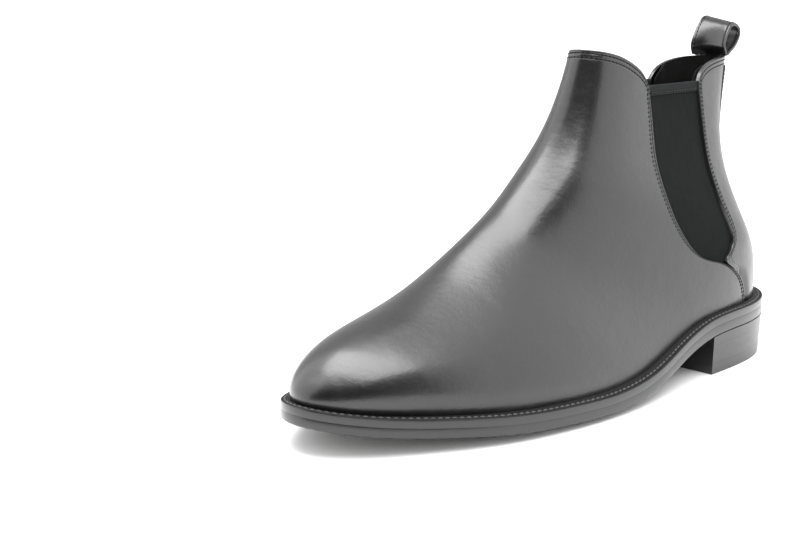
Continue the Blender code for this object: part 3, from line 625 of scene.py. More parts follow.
class Look:
    """A Principled material built up node by node."""

    def __init__(self, name, colour, roughness, metallic=0.0, **sockets):
        self.material = bpy.data.materials.new(name)
        self.material.use_nodes = True
        self.tree = self.material.node_tree
        self.shader = self.tree.nodes["Principled BSDF"]
        self.shader.inputs["Base Color"].default_value = (*colour, 1)
        self.shader.inputs["Roughness"].default_value = roughness
        self.shader.inputs["Metallic"].default_value = metallic
        for socket, value in sockets.items():
            self.shader.inputs[socket.replace("_", " ")].default_value = value
        self.bumps = None

    def node(self, kind, **values):
        made = self.tree.nodes.new(kind)
        for key, value in values.items():
            if key in made.inputs:
                made.inputs[key].default_value = value
            else:
                setattr(made, key, value)
        return made

    def link(self, output, target):
        self.tree.links.new(output, target)

    def place(self, stretch=(1, 1, 1), uv=False):
        """Coordinates in metres, of the object or along its own surface."""
        coordinates = self.node("ShaderNodeTexCoord")
        mapping = self.node("ShaderNodeMapping")
        mapping.inputs["Scale"].default_value = stretch
        self.link(coordinates.outputs["UV" if uv else "Object"], mapping.inputs["Vector"])
        return mapping.outputs["Vector"]

    def noise(self, size, detail=3.0, rough=0.5, place=None):
        """Noise whose largest features are about size metres across."""
        made = self.node("ShaderNodeTexNoise", Scale=1 / size, Detail=detail, Roughness=rough)
        self.link(place or self.place(), made.inputs["Vector"])
        return made.outputs["Fac"]

    def cells(self, size, feature="F1", place=None):
        made = self.node("ShaderNodeTexVoronoi", Scale=1 / size, feature=feature)
        self.link(place or self.place(), made.inputs["Vector"])
        return made.outputs["Distance"]

    def wave(self, size, direction, place, distortion=0.0):
        """Parallel ridges size metres apart."""
        made = self.node("ShaderNodeTexWave", Scale=math.pi / 10 / size, Distortion=distortion,
                         bands_direction=direction)
        made.inputs["Detail Scale"].default_value = 2.0
        self.link(place, made.inputs["Vector"])
        return made.outputs["Fac"]

    def ramp(self, value, low, high):
        """The value's 0..1 mapped to low..high."""
        made = self.node("ShaderNodeMapRange", clamp=True)
        made.inputs["To Min"].default_value = low
        made.inputs["To Max"].default_value = high
        self.link(value, made.inputs["Value"])
        return made.outputs["Result"]

    def maths(self, operation, a, b):
        made = self.node("ShaderNodeMath", operation=operation)
        for socket, value in zip(made.inputs, (a, b)):
            if isinstance(value, (int, float)):
                socket.default_value = value
            else:
                self.link(value, socket)
        return made.outputs[0]

    def bump(self, height, distance, strength=1.0):
        made = self.node("ShaderNodeBump", Distance=distance, Strength=strength)
        self.link(height, made.inputs["Height"])
        if self.bumps:
            self.link(self.bumps, made.inputs["Normal"])
        self.bumps = made.outputs["Normal"]
        self.link(self.bumps, self.shader.inputs["Normal"])

    def roughness(self, value, low, high):
        self.link(self.ramp(value, low, high), self.shader.inputs["Roughness"])

    def colour(self, value, dark, light):
        made = self.node("ShaderNodeMix", data_type="RGBA")
        self.link(value, made.inputs["Factor"])
        for socket, shade in zip(("A", "B"), (dark, light)):
            named = [s for s in made.inputs if s.name == socket and s.type == "RGBA"][0]
            named.default_value = (*shade, 1)
        self.link(made.outputs[2], self.shader.inputs["Base Color"])


def polished_calf():
    """Smooth dyed calf: fine pores, faint folds, and a waxed finish that is uneven."""
    look = Look("polished_calf", (0.012, 0.012, 0.0125), 0.3, Specular_IOR_Level=0.55, Coat_Weight=0.35,
                Coat_Roughness=0.19)
    look.colour(look.noise(0.03, 4), (0.0022, 0.0022, 0.0023), (0.0052, 0.0052, 0.0055))
    look.roughness(look.noise(0.016, 5, 0.6), 0.25, 0.42)
    look.bump(look.noise(0.026, 2, 0.4), 0.0016, 0.3)
    look.bump(look.noise(0.011, 3, 0.5, look.place((1.0, 0.4, 1.3))), 0.0007, 0.38)
    look.bump(look.noise(0.0024, 4, 0.65), 0.00015, 0.55)
    look.bump(look.cells(0.0007), 0.00005, 0.5)
    return look.material


def gore_elastic():
    """Black elastic webbing: fine upright cords crossed by a finer weft."""
    look = Look("gore_elastic", (0.012, 0.014, 0.0145), 0.9, Specular_IOR_Level=0.08)
    place = look.place(uv=True)
    cords = look.wave(0.00085, "X", place, 0.15)
    weft = look.wave(0.00045, "Y", place, 0.4)
    ribs = look.noise(0.0012, 3, 0.6, look.place((1, 0.06, 1), uv=True))
    look.colour(look.maths("MULTIPLY", ribs, look.ramp(look.noise(0.004, 4), 0.6, 1.0)),
                (0.0032, 0.0038, 0.0036), (0.0110, 0.0126, 0.0118))
    look.bump(cords, 0.00005, 0.3)
    look.bump(weft, 0.00003, 0.3)
    look.bump(ribs, 0.0001, 0.4)
    return look.material


def gore_tape():
    """Folded tape with a fine twill."""
    look = Look("gore_tape", (0.02, 0.022, 0.024), 0.75, Specular_IOR_Level=0.12)
    place = look.place(uv=True)
    twill = look.wave(0.0005, "DIAGONAL", place, 0.2)
    look.colour(twill, (0.004, 0.0043, 0.0045), (0.0115, 0.0125, 0.0130))
    look.bump(twill, 0.0001, 0.8)
    return look.material


def layered(name, shade, roughness, grain, dark, light, gloss=None, bumps=(), **sockets):
    """A material whose tone follows noise.

    gloss is (noise values, low, high) and bumps are (pattern, depth, strength).
    """
    look = Look(name, (shade,) * 3 if isinstance(shade, float) else shade, roughness, **sockets)
    look.colour(look.noise(*grain), dark, light)
    if gloss:
        look.roughness(look.noise(*gloss[0]), *gloss[1:])
    for pattern, depth, strength in bumps:
        look.bump(pattern(look), depth, strength)
    return look.material


def grainy(*values):
    return lambda look: look.noise(*values)


def pebbled(size):
    return lambda look: look.cells(size)


def twisted(size):
    return lambda look: look.wave(size, "DIAGONAL", look.place())


def lining_leather():
    """Black lining with a suede nap."""
    return layered("lining_leather", 0.010, 0.9, (0.006, 6, 0.7), (0.0006, 0.0006, 0.0006),
                   (0.0065, 0.0065, 0.0062), bumps=[(grainy(0.0011, 5, 0.7), 0.0003, 0.7)],
                   Specular_IOR_Level=0.08, Sheen_Weight=0.02)


def thread():
    """Waxed black thread with its twist."""
    return layered("thread", 0.008, 0.5, (0.0012, 3), (0.002,) * 3, (0.007,) * 3,
                   bumps=[(twisted(0.00028), 0.00006, 0.8)], Specular_IOR_Level=0.35)


def pale_twine_painted_glint():
    """Thick waxed thread. Its tone varies at random, and it is coloured paler than the upper's thread all
    over: painted highlight for the glints on the welt stitches.
    """
    return layered("pale_twine_painted_glint", 0.03, 0.45, (0.0014, 3), (0.018,) * 3, (0.075, 0.073, 0.07),
                   bumps=[(twisted(0.0004), 0.00008, 0.8)])


def welt_leather():
    """Dyed welt, wheeled across between the stitches."""
    return layered("welt_leather", 0.008, 0.6, (0.004, 5, 0.6), (0.002,) * 3, (0.006,) * 3,
                   gloss=((0.003, 4), 0.5, 0.75), bumps=[(grainy(0.0012, 4), 0.00016, 0.5)],
                   Specular_IOR_Level=0.25)


def sole_edge():
    """Inked, waxed and burnished leather edge: fine level lines, semi-gloss."""
    look = Look("sole_edge", (0.012, 0.012, 0.013), 0.3, Coat_Weight=0.25, Coat_Roughness=0.2)
    level_lines = look.noise(0.01, 4, 0.6, look.place((1, 1, 14)))
    look.colour(level_lines, (0.004, 0.004, 0.0045), (0.011, 0.011, 0.0115))
    look.roughness(level_lines, 0.22, 0.44)
    look.bump(level_lines, 0.00015, 0.4)
    look.bump(look.noise(0.0015, 3), 0.00006, 0.4)
    return look.material


def sole_tread():
    """Dark dyed sole leather with grain, and lighter where it rubs on the ground."""
    return layered("sole_tread", (0.03, 0.027, 0.024), 0.55, (0.012, 6, 0.6), (0.016, 0.015, 0.014),
                   (0.055, 0.05, 0.045), gloss=((0.006, 4), 0.42, 0.7),
                   bumps=[(pebbled(0.0016), 0.0001, 0.5), (grainy(0.0007, 4), 0.00008, 0.5)])


def heel_rubber():
    """Black rubber wearing layer, finely pebbled."""
    return layered("heel_rubber", (0.014, 0.013, 0.012), 0.65, (0.003, 4), (0.006, 0.0055, 0.005),
                   (0.015, 0.013, 0.011), bumps=[(pebbled(0.0009), 0.0001, 0.6)])


def plain_inside(name, dark, light, roughness, grain, height, **sockets):
    """A material for a piece that is out of sight inside the boot."""
    return layered(name, light, roughness, (grain, 5, 0.65), dark, light,
                   bumps=[(grainy(grain / 3, 4), height, 0.6)], **sockets)


def floor_paper():
    return layered("floor_paper", 0.8, 0.8, (0.5, 2), (0.79,) * 3, (0.81,) * 3, Specular_IOR_Level=0.2)


# ---------------------------------------------------------------- the upper

def down_to_foot(points, shift=0.0):
    """(k, theta) down a side-view edge until the foot of the upper."""
    places = locate(along(points)(np.linspace(0, 1, 500)) + np.array([shift, 0]))
    point = surface(places[:, 0], places[:, 1])
    return places[point[:, 2] > upper_foot(point[:, 0])]


def foot_between(first, last):
    """(k, theta) along the foot of the upper, between the x of two places on it."""
    path = rim(upper_foot)
    x = surface(path[:, 0], path[:, 1])[:, 0]
    path = path[(x >= min(first, last)) & (x <= max(first, last))]
    return path if first < last else path[::-1]


def back_line(top, inset=0.0):
    """The back seam, from height top down to the foot of the upper."""
    first, last = back_rib(lambda x: top + 0 * x), back_rib(upper_foot)
    return np.column_stack([np.linspace(first, last, 300), np.full(300, np.pi - inset)])


def join(*curves):
    """Side-view curves end to end."""
    return np.vstack([curves[0]] + [np.asarray(c)[1:] for c in curves[1:]])


def vamp_edges():
    peak = locate([COLLAR_FRONT[0]])[0, 0]
    ridge = np.column_stack([np.linspace(peak, TIP, 500), np.zeros(500)])
    toe = np.column_stack([np.full(60, TIP), np.linspace(0, level(np.array([TIP]), upper_foot)[0], 60)])
    left = np.vstack([ridge, toe[1:]])
    right = down_to_foot(join(GORE_FRONT, SEAM))
    top = trace(COLLAR_FRONT)
    top[0] = left[0]
    bottom = foot_between(1000.0, surface(*right[-1])[0])
    bottom[0], bottom[-1] = left[-1], right[-1]
    return top, bottom, left, right


def quarter_edges(front, shift=0.0, inset=0.0):
    left = down_to_foot(front, shift)
    right = back_line(COLLAR_BACK, inset)
    share = np.linspace(0, 1, EDGE_POINTS)
    top = locate(along(COLLAR_REAR)(share) + np.array([[shift, 0]]) * (1 - share)[:, None])
    top[0], top[-1] = left[0], right[0]
    bottom = foot_between(surface(*left[-1])[0], -1000.0)
    bottom[0], bottom[-1] = left[-1], right[-1]
    return top, bottom, left, right


TUCK, TUCK_RUN, TUCK_TOP, TUCK_FADE = 1.55, 6.0, 50.6, 5.0  # depth, length, and the height it ends at


def seam_tuck(grid):
    """How far the quarter sinks to pass under the vamp, next to the seam."""
    point = surface(grid[..., 0], grid[..., 1])[..., [0, 2]]
    seam = along(SEAM)(np.linspace(0, 1, 160))
    shape = point.shape[:2]
    flat = point.reshape(-1, 1, 2) - seam
    apart = np.linalg.norm(flat, axis=-1)
    nearest = apart.argmin(axis=1)
    ahead = (point.reshape(-1, 2)[:, 0] > seam[nearest, 0]).reshape(shape)
    apart = apart.min(axis=1).reshape(shape)
    below = np.clip((TUCK_TOP - point[..., 1]) / TUCK_FADE, 0, 1)
    fall = np.clip(1 - (apart - 0.6) / TUCK_RUN, 0, 1)
    return TUCK * np.where(ahead, 1.0, fall ** 2 * (3 - 2 * fall)) * below


def make_vamp(calf, sewing):
    grid = across_middle(patch(*vamp_edges(), ((0,), SEWN, 62), (SEWN, (0,), 108)))
    side = np.minimum(edge_distance(grid, "right"), edge_distance(grid, "left"))
    depth = np.maximum(sewn_edge(edge_distance(grid, "top")), sewn_edge(side))
    leather("vamp_leather", grid, calf, UPPER, depth, slot="calf_leather", hem=depth * 0.5)
    for row in STITCH_ROWS:
        line = grid[row, row:len(grid[row]) - row]
        sewing.row(*surface_path(line, ON_LEATHER))
        for column in (row, -1 - row):
            sewing.row(*surface_path(grid[row:, column], ON_LEATHER))


def make_quarters(calf, sewing):
    edges = quarter_edges(join(GORE_BACK, UNDERLAP), inset=0.004)
    grid = patch(*edges, (SEWN, (0,), 34), (SEWN, (0,), 60))
    top, front = edge_distance(grid, "top"), edge_distance(grid, "left")
    depth = np.maximum(sewn_edge(top), sewn_edge(front)) + seam_tuck(grid)
    height = surface(grid[..., 0], grid[..., 1])[..., 2]
    for side, sign in (("lateral", 1), ("medial", -1)):
        whole = grid * np.array([1, sign])
        leather(f"quarter_{side}_leather", whole, calf, UPPER, depth, slot="calf_leather")
        for row in STITCH_ROWS:
            sewing.row(*surface_path(whole[row, row:-8], ON_LEATHER))
            down = height[:, row] > 54.0
            down[:row] = False
            sewing.row(*surface_path(whole[down, row], ON_LEATHER))


# Section of the folded tape, as height and depth; the span and thickness of tape and webbing
TAPE = ((134.4, 1.5), (134.2, 1.0), (134.6, 0.72), (136.4, 0.62), (138.1, 0.7), (138.9, 1.15),
        (139.1, 1.9), (138.8, 2.7), (138.0, 3.05), (136.2, 3.15), (134.6, 3.1))
TAPE_SPAN, TAPE_SEAM, TAPE_INNER = (51.0, 97.8), 135.4, (1.25, 2.6)
GORE_THICK, GORE_DEPTH = 1.25, 1.75


def make_gores(elastic, tape, sewing):
    left, right = trace(PANEL_BACK), trace(PANEL_FRONT)
    top = trace((PANEL_BACK[0], (74.0, PANEL_BACK[0][1]), PANEL_FRONT[0]))
    bottom = trace((PANEL_BACK[-1], (55.0, 51.4), PANEL_FRONT[-1]))
    panel = patch(top, bottom, left, right, ((0,), (0,), 50), ((0,), (0,), 70))
    x = np.linspace(*TAPE_SPAN, 60)
    strip = np.array([locate(np.column_stack([x, np.full(60, z)])) for z, _ in TAPE])
    depth = np.repeat(np.array(TAPE)[:, 1:], 60, axis=1)
    for side, sign in (("lateral", 1), ("medial", -1)):
        flip = np.array([1, sign])
        leather(f"gore_{side}_elastic", panel * flip, elastic, GORE_THICK, GORE_DEPTH,
                slot="gore_elastic")
        whole = strip * flip
        k, theta = whole[..., 0], whole[..., 1]
        inner = skin(k, theta, np.clip(depth, *TAPE_INNER))
        shell(f"gore_binding_{side}_tape", skin(k, theta, depth), inner, tape, slot="gore_tape")
        stitch_line = locate(np.column_stack([x[2:-2], np.full(56, TAPE_SEAM)])) * flip
        sewing.row(*surface_path(stitch_line, 0.62), pitch=2.6)


def backstay_grid():
    """Strip centred on the back seam; its half width is a function of height."""
    path = back_line(BACKSTAY_TOP)
    height = surface(path[:, 0], path[:, 1])[:, 2]
    path = path[height > welt_top(0.0) + 0.2]
    point = surface(path[:, 0], path[:, 1])
    width_at = along(BACKSTAY_HALF)(np.linspace(0, 1, 200))
    half = np.interp(point[:, 2], width_at[:, 0], width_at[:, 1])
    theta = bisect(np.full(len(path), np.pi - 1.4), np.full(len(path), np.pi),
                   lambda angle: surface(path[:, 0], angle)[:, 1] - point[:, 1] > half, steps=30)
    edge = np.column_stack([path[:, 0], theta])
    top, bottom = (np.column_stack([np.full(60, path[i, 0]), np.linspace(np.pi, theta[i], 60)])
                   for i in (0, -1))
    return across_middle(patch(top, bottom, path, edge, ((0,), SEWN[:8], 12), (SEWN, (0,), 60)))


def make_backstay(calf, sewing):
    grid = backstay_grid()
    side = np.minimum(edge_distance(grid, "left"), edge_distance(grid, "right"))
    top = edge_distance(grid, "top")
    lift = BACKSTAY_LIFT
    depth = np.maximum(sewn_edge(side, rows=1), sewn_edge(top)) - lift
    leather("backstay_leather", grid, calf, lift + 0.3, depth, slot="calf_leather")
    for column in (FIRST_ROW, -1 - FIRST_ROW):
        sewing.row(*surface_path(grid[FIRST_ROW:, column], ON_LEATHER - lift))
    for row in STITCH_ROWS:
        sewing.row(*surface_path(grid[row, FIRST_ROW:-FIRST_ROW], ON_LEATHER - lift))


LINING, LINING_DEPTH, LINING_HUG, COUNTER_ROOM = 1.0, 3.4, 1.9, 1.5


def make_lining(suede):
    """Linings hug the leather along the collar and pass inside the gores and the counter."""
    def depth_of(grid, gore_side):
        point = surface(grid[..., 0], grid[..., 1])
        behind = np.clip((112.0 - point[..., 0]) / 20.0, 0, 1)
        low = np.clip((98.0 - point[..., 2]) / 16.0, 0, 1)
        near = np.clip(1 - edge_distance(grid, "top") / 14.0, 0, 1)
        free = np.clip((edge_distance(grid, gore_side) - 6.5) / 6.0, 0, 1)
        return LINING_DEPTH - LINING_HUG * near ** 2 * (3 - 2 * near) * free + COUNTER_ROOM * behind * low

    front = patch(*vamp_edges(), ((0,), PLAIN, 40), (PLAIN, (0,), 60))
    rounded = round_over(edge_distance(front, "top"), 0.4)
    leather("vamp_lining_suede", across_middle(front), suede, LINING,
            across_middle_values(depth_of(front, "right") - rounded * 0.3), slot="lining_leather")
    edges = quarter_edges(join(GORE_BACK, SEAM), shift=-0.7)
    rear = patch(*edges, (PLAIN, (0,), 30), (PLAIN, (0,), 46))
    values = depth_of(rear, "left")[:, ::-1]
    leather("quarter_lining_suede", across_middle(rear[:, ::-1]), suede, LINING,
            across_middle_values(values), slot="lining_leather")


def across_middle_values(half):
    return np.concatenate([half[:, :0:-1], half], axis=1)


# ---------------------------------------------------------------- the pull loop

def strap_line():
    """Middle line of the strap in the side plane, from its inner end over to its outer one."""
    base = np.array(HINGE)
    turn = np.linspace(0, np.pi, 9)
    top = STRAP_RISE - STRAP_BELLY
    arch = np.column_stack([STRAP_BELLY * np.cos(turn), top + STRAP_BELLY * np.sin(turn)])
    legs = np.array([(3.4, 0.6), (5.2, 4.6)])
    cosine, sine = math.cos(STRAP_LEAN), math.sin(STRAP_LEAN)
    upright = np.vstack([legs, arch, legs[::-1] * np.array([-1, 1])])
    free = upright @ np.array([[cosine, sine], [-sine, cosine]])
    inner = np.array([(0.9, -14.0), (0.4, -10.0), (-0.2, -6.5), (-0.7, -3.6)])
    outer = np.array([(-1.2, -3.2), (-0.6, -5.8), (0.0, -9.0)])
    return np.vstack([inner, free, outer]) + base


def back_sag(height, across):
    """How far the back of the shaft curves forward at each place across it."""
    theta = np.linspace(math.pi + 1.2, math.pi - 1.2, 121)
    points = skin(back_rib(lambda x: height + 0 * x), theta, 2.0)
    x = np.interp(STRAP_MIDDLE + across, points[:, 1], points[:, 0])
    return x - np.interp(STRAP_MIDDLE, points[:, 1], points[:, 0])


def make_pull_loop(calf, twine):
    line = along(strap_line())(np.linspace(0, 1, 110))
    direction = np.gradient(line, axis=0)
    direction /= np.linalg.norm(direction, axis=1, keepdims=True)
    normal = np.column_stack([direction[:, 1], -direction[:, 0]])
    half = STRAP_WIDTH / 2
    across = stations(STRAP_WIDTH, SEWN[:8], SEWN[:8], 9) - half
    raised = np.clip((line[:, 1] - HINGE[1]) / STRAP_RISE, 0, 1)[:, None]
    free = np.clip((line[:, 1:] - COLLAR_BACK + 0.6) / 1.6, 0, 1)
    wide = (TAB_SHARE + (1 - TAB_SHARE) * free) * across
    flat = np.clip((line[:, 1:] - COLLAR_BACK) / STRAP_BOW_RUN, 0, 1)
    bow = (STRAP_BOW - STRAP_BOW_LOST * flat) * across ** 2
    sag = (1 - free) * back_sag(TAB_HEIGHT, TAB_SHARE * across) + free * bow

    def raised_face(sign, away):
        """Points on one side of the strap's middle, at a distance from it."""
        x = line[:, :1] + normal[:, :1] * sign * away + sag + STRAP_TWIST * raised * across
        z = line[:, 1:] + normal[:, 1:] * sign * away - STRAP_TILT * raised * across
        return np.stack([x, STRAP_MIDDLE + wide, z], axis=2)

    depth = round_over(half - np.abs(across), 0.6)
    depth = depth + 0.14 * np.exp(-((half - np.abs(across) - SEWN[FIRST_ROW]) / PULL_WIDTH) ** 2)
    strap = shell("pull_strap", raised_face(1, STRAP_FACE - depth), raised_face(-1, STRAP_FACE - depth),
                  calf, body=None, slot="calf_leather")
    threads = Sewing()
    for sign in (1, -1):
        facing = np.column_stack([normal[:, 0], np.zeros(len(line)), normal[:, 1]]) * sign
        for side in (FIRST_ROW, -1 - FIRST_ROW):
            threads.row(raised_face(sign, STRAP_FACE - 0.1)[2:-2, side], facing[2:-2])
    stitches = threads.make("pull_strap_stitches", twine, body=None, slot="thread")
    for piece in (strap, stitches):
        world([HINGE[0], STRAP_MIDDLE, HINGE[1] - 3.0])
        world([HINGE[0], STRAP_MIDDLE, HINGE[1] + 3.5])
        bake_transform(piece)
    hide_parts("pull_loop", "pull_loop_end_inner", "pull_loop_end_outer")


# ---------------------------------------------------------------- the bottom

def constant(value):
    return lambda x: value + 0 * x


def above(height, rise):
    return lambda x: height(x) + rise


def band_profile(rows):
    """A profile from rows of share of the welt's width, added offset, height and rise."""
    return [(lambda x, part=part, extra=extra: welt_width(x) * part + extra, above(height, rise))
            for part, extra, height, rise in rows]


def make_welt(look, edge, sewing):
    """The welt: tight against the upper, grooved for its stitches, with a rounded rim."""
    seat = plan_loop(welt_top)
    rows = [(0, -0.9, sole_top, 0), (0, 0.05, welt_top, -0.5), (0, 0.25, welt_top, 0.1),
            (0, 0.8, welt_top, 0.05)]
    rows += [(part, 0, welt_top, -sink) for part, sink in WELT_GROOVE]
    rows += [(1, -0.75, welt_top, -0.02), (1, -0.35, welt_top, -0.14), (1, -0.1, welt_top, -0.4),
             (1, 0, welt_top, -0.85), (1, 0, sole_top, 0.1), (1, -0.03, sole_top, 0.03),
             (1, -0.3, sole_top, 0)]
    piece = sweep("welt_strip", seat, band_profile(rows), look, slot="welt_leather")
    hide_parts("welt")
    piece.data.materials.append(edge)
    for face in piece.data.polygons:
        face.material_index = int(face.normal.z < 0.6)
    line = offset_loop(seat, welt_width(seat[:, 0]) * WELT_SEAM)
    points = np.column_stack([line, welt_top(line[:, 0]) - 0.28])
    normals = np.tile([0.0, 0.0, 1.0], (len(points), 1))
    sewing.row(points, normals, closed=True, **WELT_STITCH)
    return seat


def make_outsole(seat, edge, tread):
    """The sole's burnished edge, and its crowned tread."""
    rim_line = offset_loop(seat, welt_width(seat[:, 0]))
    rows = [(0, -3.0, sole_top, 0), (0, -0.3, sole_top, -0.01), (0, -0.03, sole_top, -0.03),
            (0, 0, sole_top, -0.1), (0, 0.04, sole_middle, 0), (0, 0, sole_low, 0.75),
            (0, -0.18, sole_low, 0.3), (0, -0.55, sole_low, 0.05), (0, -1.2, sole_low, 0.03),
            (0, -3.0, sole_low, 0.3)]
    band = sweep("outsole_edge", rim_line, band_profile(rows), edge, slot="sole_leather")
    inner = offset_loop(rim_line, -1.1)
    low = across_loop(inner, above(sole_low, 0.02), 25, tread_crown)
    low[..., 2] = np.maximum(low[..., 2], 0.0)
    high = low + np.array([0, 0, TREAD_THICK])
    shell("outsole_tread", low, high, tread, slot="sole_leather")
    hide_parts("outsole")
    return rim_line


def heel_outline(rim_line, inset):
    """The part of the outline behind the heel breast, closed by the hollow breast line."""
    loop = offset_loop(rim_line, -inset)
    half = len(loop) // 2
    inner = loop[:half + 1]
    outer = np.concatenate([loop[:1], loop[:half - 1:-1]])
    corners = [np.array([HEEL_LENGTH - inset, np.interp(HEEL_LENGTH, side[:, 0], side[:, 1])])
               for side in (inner, outer)]
    back = [side[side[:, 0] < HEEL_LENGTH - 1.2] for side in (inner, outer)]
    breast = [corners[0] + (corners[1] - corners[0]) * t - np.array([4 * t * (1 - t) * BREAST_HOLLOW, 0])
              for t in np.linspace(0, 1, 33)[1:-1]]
    return np.vstack([back[0], corners[0], *breast, corners[1], back[1][:0:-1]])


def make_heel(rim_line, edge, rubber):
    """Three leather lifts and the rubber top piece, each with a fine chamfer."""
    def share(part):
        return lambda x: TOP_PIECE + (sole_low(x) - TOP_PIECE) * part

    layers = [("heel_top_piece", constant(0.0), constant(TOP_PIECE), rubber, "rubber", 0.25)]
    layers += [(f"heel_lift_{i + 1}", share(i / LIFTS), share((i + 1) / LIFTS), edge, "heel_leather", 0.03)
               for i in range(LIFTS)]
    for name, low, high, look, slot, chamfer in layers:
        rings = []
        steps = ((low, chamfer), (above(low, chamfer), 0), (above(high, -0.03), 0), (high, 0.03))
        for height, extra in steps:
            taper = HEEL_TAPER * (1 - height(0.0) / sole_low(0.0))
            loop = heel_outline(rim_line, taper + extra)
            rings.append(np.column_stack([loop, height(loop[:, 0])]))
        size = len(rings[0])
        faces = ring_faces(len(rings), size)
        faces += [tuple(range(size)), tuple(range(3 * size, 4 * size))]
        piece = show(name + "_layer", world(np.vstack(rings)), faces, look, slot=slot, sharp=35)
        piece.data.materials.append(edge)
        for face in piece.data.polygons:
            face.material_index = int(abs(face.normal.z) < 0.5)
        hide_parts(name)


SOCK_RAMP, SOCK_RISE = (HEEL_LENGTH + 1, HEEL_LENGTH + 24), 2.9  # the heel pad fades out along it


def make_sock(suede):
    """The sock lining, dished and padded up at the heel."""
    def height(x):
        return insole_top(x) + 0.4 + np.interp(x, SOCK_RAMP, (SOCK_RISE, 0))

    loop = plan_loop(above(insole_top, 1.5), 4.5, count=90)
    loop = offset_loop(loop, -np.interp(loop[:, 0], (90.0, 112.0), (1.5, 0)))
    low = across_loop(loop, height, 21)
    high = across_loop(loop, above(height, 1.2), 21, constant(0.8))
    piece = shell("sock_suede", high + np.array([0, 0, 0.5]), low, suede, slot="lining_leather")
    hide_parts("sock_liner")


# ---------------------------------------------------------------- the stage

def area_light(name, place, target, wide, high, radiance):
    """A rectangular softbox of even brightness."""
    data = bpy.data.lights.new(name, "AREA")
    data.shape = "RECTANGLE"
    data.size = wide
    data.size_y = high
    data.energy = radiance * math.pi * wide * high
    light = add(name, data)
    light.location = place
    light.rotation_euler = (Vector(target) - Vector(place)).to_track_quat("-Z", "Y").to_euler()


def make_floor():
    data = bpy.data.meshes.new("studio_floor")
    corners = [(x * FLOOR_HALF, y * FLOOR_HALF, 0) for x, y in ((-1, -1), (1, -1), (1, 1), (-1, 1))]
    data.from_pydata(corners, [], [(0, 1, 2, 3)])
    data.materials.append(floor_paper())
    floor = add("studio_floor", data)


def make_reflection_cloth(name, shade, azimuths, elevations, radius=1.7, columns=24, rows=10):
    """A curved cloth beside the boot, seen only in reflections: it paints a darker reflection on the leather
    from that side and casts no shade.
    """
    vertices = []
    for up in np.radians(np.linspace(*elevations, rows)):
        for turn in np.radians(np.linspace(*azimuths, columns)):
            vertices.append((radius * math.cos(up) * math.cos(turn), radius * math.cos(up) * math.sin(turn),
                             radius * math.sin(up)))
    faces = [(i * columns + j, i * columns + j + 1, (i + 1) * columns + j + 1, (i + 1) * columns + j)
             for i in range(rows - 1) for j in range(columns - 1)]
    data = bpy.data.meshes.new(name)
    data.from_pydata(vertices, [], faces)
    cloth = Look(name, (shade, shade, shade), 1.0, Specular_IOR_Level=0.0)
    data.materials.append(cloth.material)
    reflector = add(name, data)
    # hidden from the camera, from diffuse light and from shadows, so the cloth is only a painted reflection
    reflector.visible_camera = reflector.visible_diffuse = reflector.visible_shadow = False


def make_stage():
    scene = bpy.context.scene
    scene.view_settings.view_transform = "Standard"
    make_floor()
    # the cloths that paint darker reflections on the leather
    for reflector in REFLECTION_CLOTHS:
        make_reflection_cloth(*reflector)

    surround = bpy.data.worlds.new("studio")
    surround.use_nodes = True
    background = surround.node_tree.nodes["Background"]
    background.inputs["Color"].default_value = (1, 1, 1, 1)
    background.inputs["Strength"].default_value = SURROUND
    scene.world = surround

    area_light("overhead", **SOFTBOX)

    camera = bpy.data.cameras.new("camera")
    camera.lens = LENS
    camera.sensor_width = 36.0
    camera.clip_start, camera.clip_end = 0.01, 50
    eye = add("camera", camera)
    eye.location = EYE
    eye.rotation_euler = Vector(SIGHT).to_track_quat("-Z", "Y").to_euler()
    scene.camera = eye


# ---------------------------------------------------------------- the whole boot

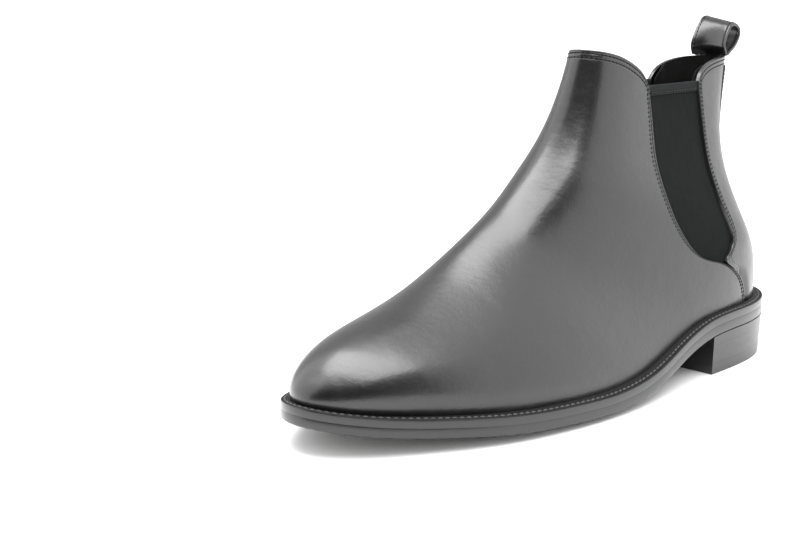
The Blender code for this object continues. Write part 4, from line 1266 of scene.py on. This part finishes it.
def paint_hidden():
    """Materials of the pieces inside the boot, which keep their CAD shape."""
    fibre = plain_inside("insole_fibre", (0.26, 0.19, 0.13), (0.46, 0.36, 0.26), 0.85, 0.004, 0.0002)
    board = plain_inside("stiffener_board", (0.40, 0.34, 0.26), (0.60, 0.53, 0.43), 0.8, 0.003, 0.0002)
    cork = plain_inside("cork", (0.22, 0.12, 0.06), (0.60, 0.42, 0.26), 0.9, 0.0025, 0.0004)
    foam = plain_inside("foam", (0.62, 0.58, 0.48), (0.80, 0.77, 0.68), 0.95, 0.0015, 0.0003)
    steel = plain_inside("steel", (0.42, 0.42, 0.44), (0.58, 0.58, 0.60), 0.35, 0.002, 0.00003,
                         metallic=1.0)
    looks = {"toe_puff": board, "heel_counter": board, "insole_board": fibre, "insole_rib": fibre,
             "cork_filler": cork, "heel_cushion": foam, "shank": steel}
    for name, node in frame["nodes"].items():
        look = steel if name.startswith("heel_nail") else looks.get(name)
        if look:
            node.data.materials.clear()
            node.data.materials.append(look)


def stand_for(piece_name, *nodes):
    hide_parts(*nodes)


def main():
    calf, suede, twine = polished_calf(), lining_leather(), thread()
    edge = sole_edge()
    # needle holes: near-black painted shade without reflection
    Sewing.dark = Look("needle_hole_painted_shade", (0.0008, 0.0008, 0.0008), 1.0, Specular_IOR_Level=0.0).material
    upper_thread, welt_thread = Sewing(), Sewing()
    make_vamp(calf, upper_thread)
    make_quarters(calf, upper_thread)
    make_gores(gore_elastic(), gore_tape(), upper_thread)
    make_backstay(calf, upper_thread)
    make_lining(suede)
    make_pull_loop(calf, twine)
    seat = make_welt(welt_leather(), edge, welt_thread)
    rim_line = make_outsole(seat, edge, sole_tread())
    make_heel(rim_line, edge, heel_rubber())
    make_sock(suede)
    upper_thread.make("upper_stitches", twine, slot="thread")
    # the welt stitches' pale colour is painted highlight
    welt_thread.make("welt_stitches", pale_twine_painted_glint(), slot="thread")
    stand_for("vamp_leather", "vamp")
    stand_for("backstay_leather", "backstay")
    stand_for("vamp_lining_suede", "vamp_lining")
    stand_for("quarter_lining_suede", "quarter_lining")
    stand_for("welt_stitches", "welt_thread")
    for side in ("lateral", "medial"):
        stand_for(f"quarter_{side}_leather", f"quarter_{side}")
        stand_for(f"gore_{side}_elastic", f"gore_{side}")
        stand_for(f"gore_binding_{side}_tape", f"gore_binding_{side}")
    paint_hidden()
    make_stage()


main()
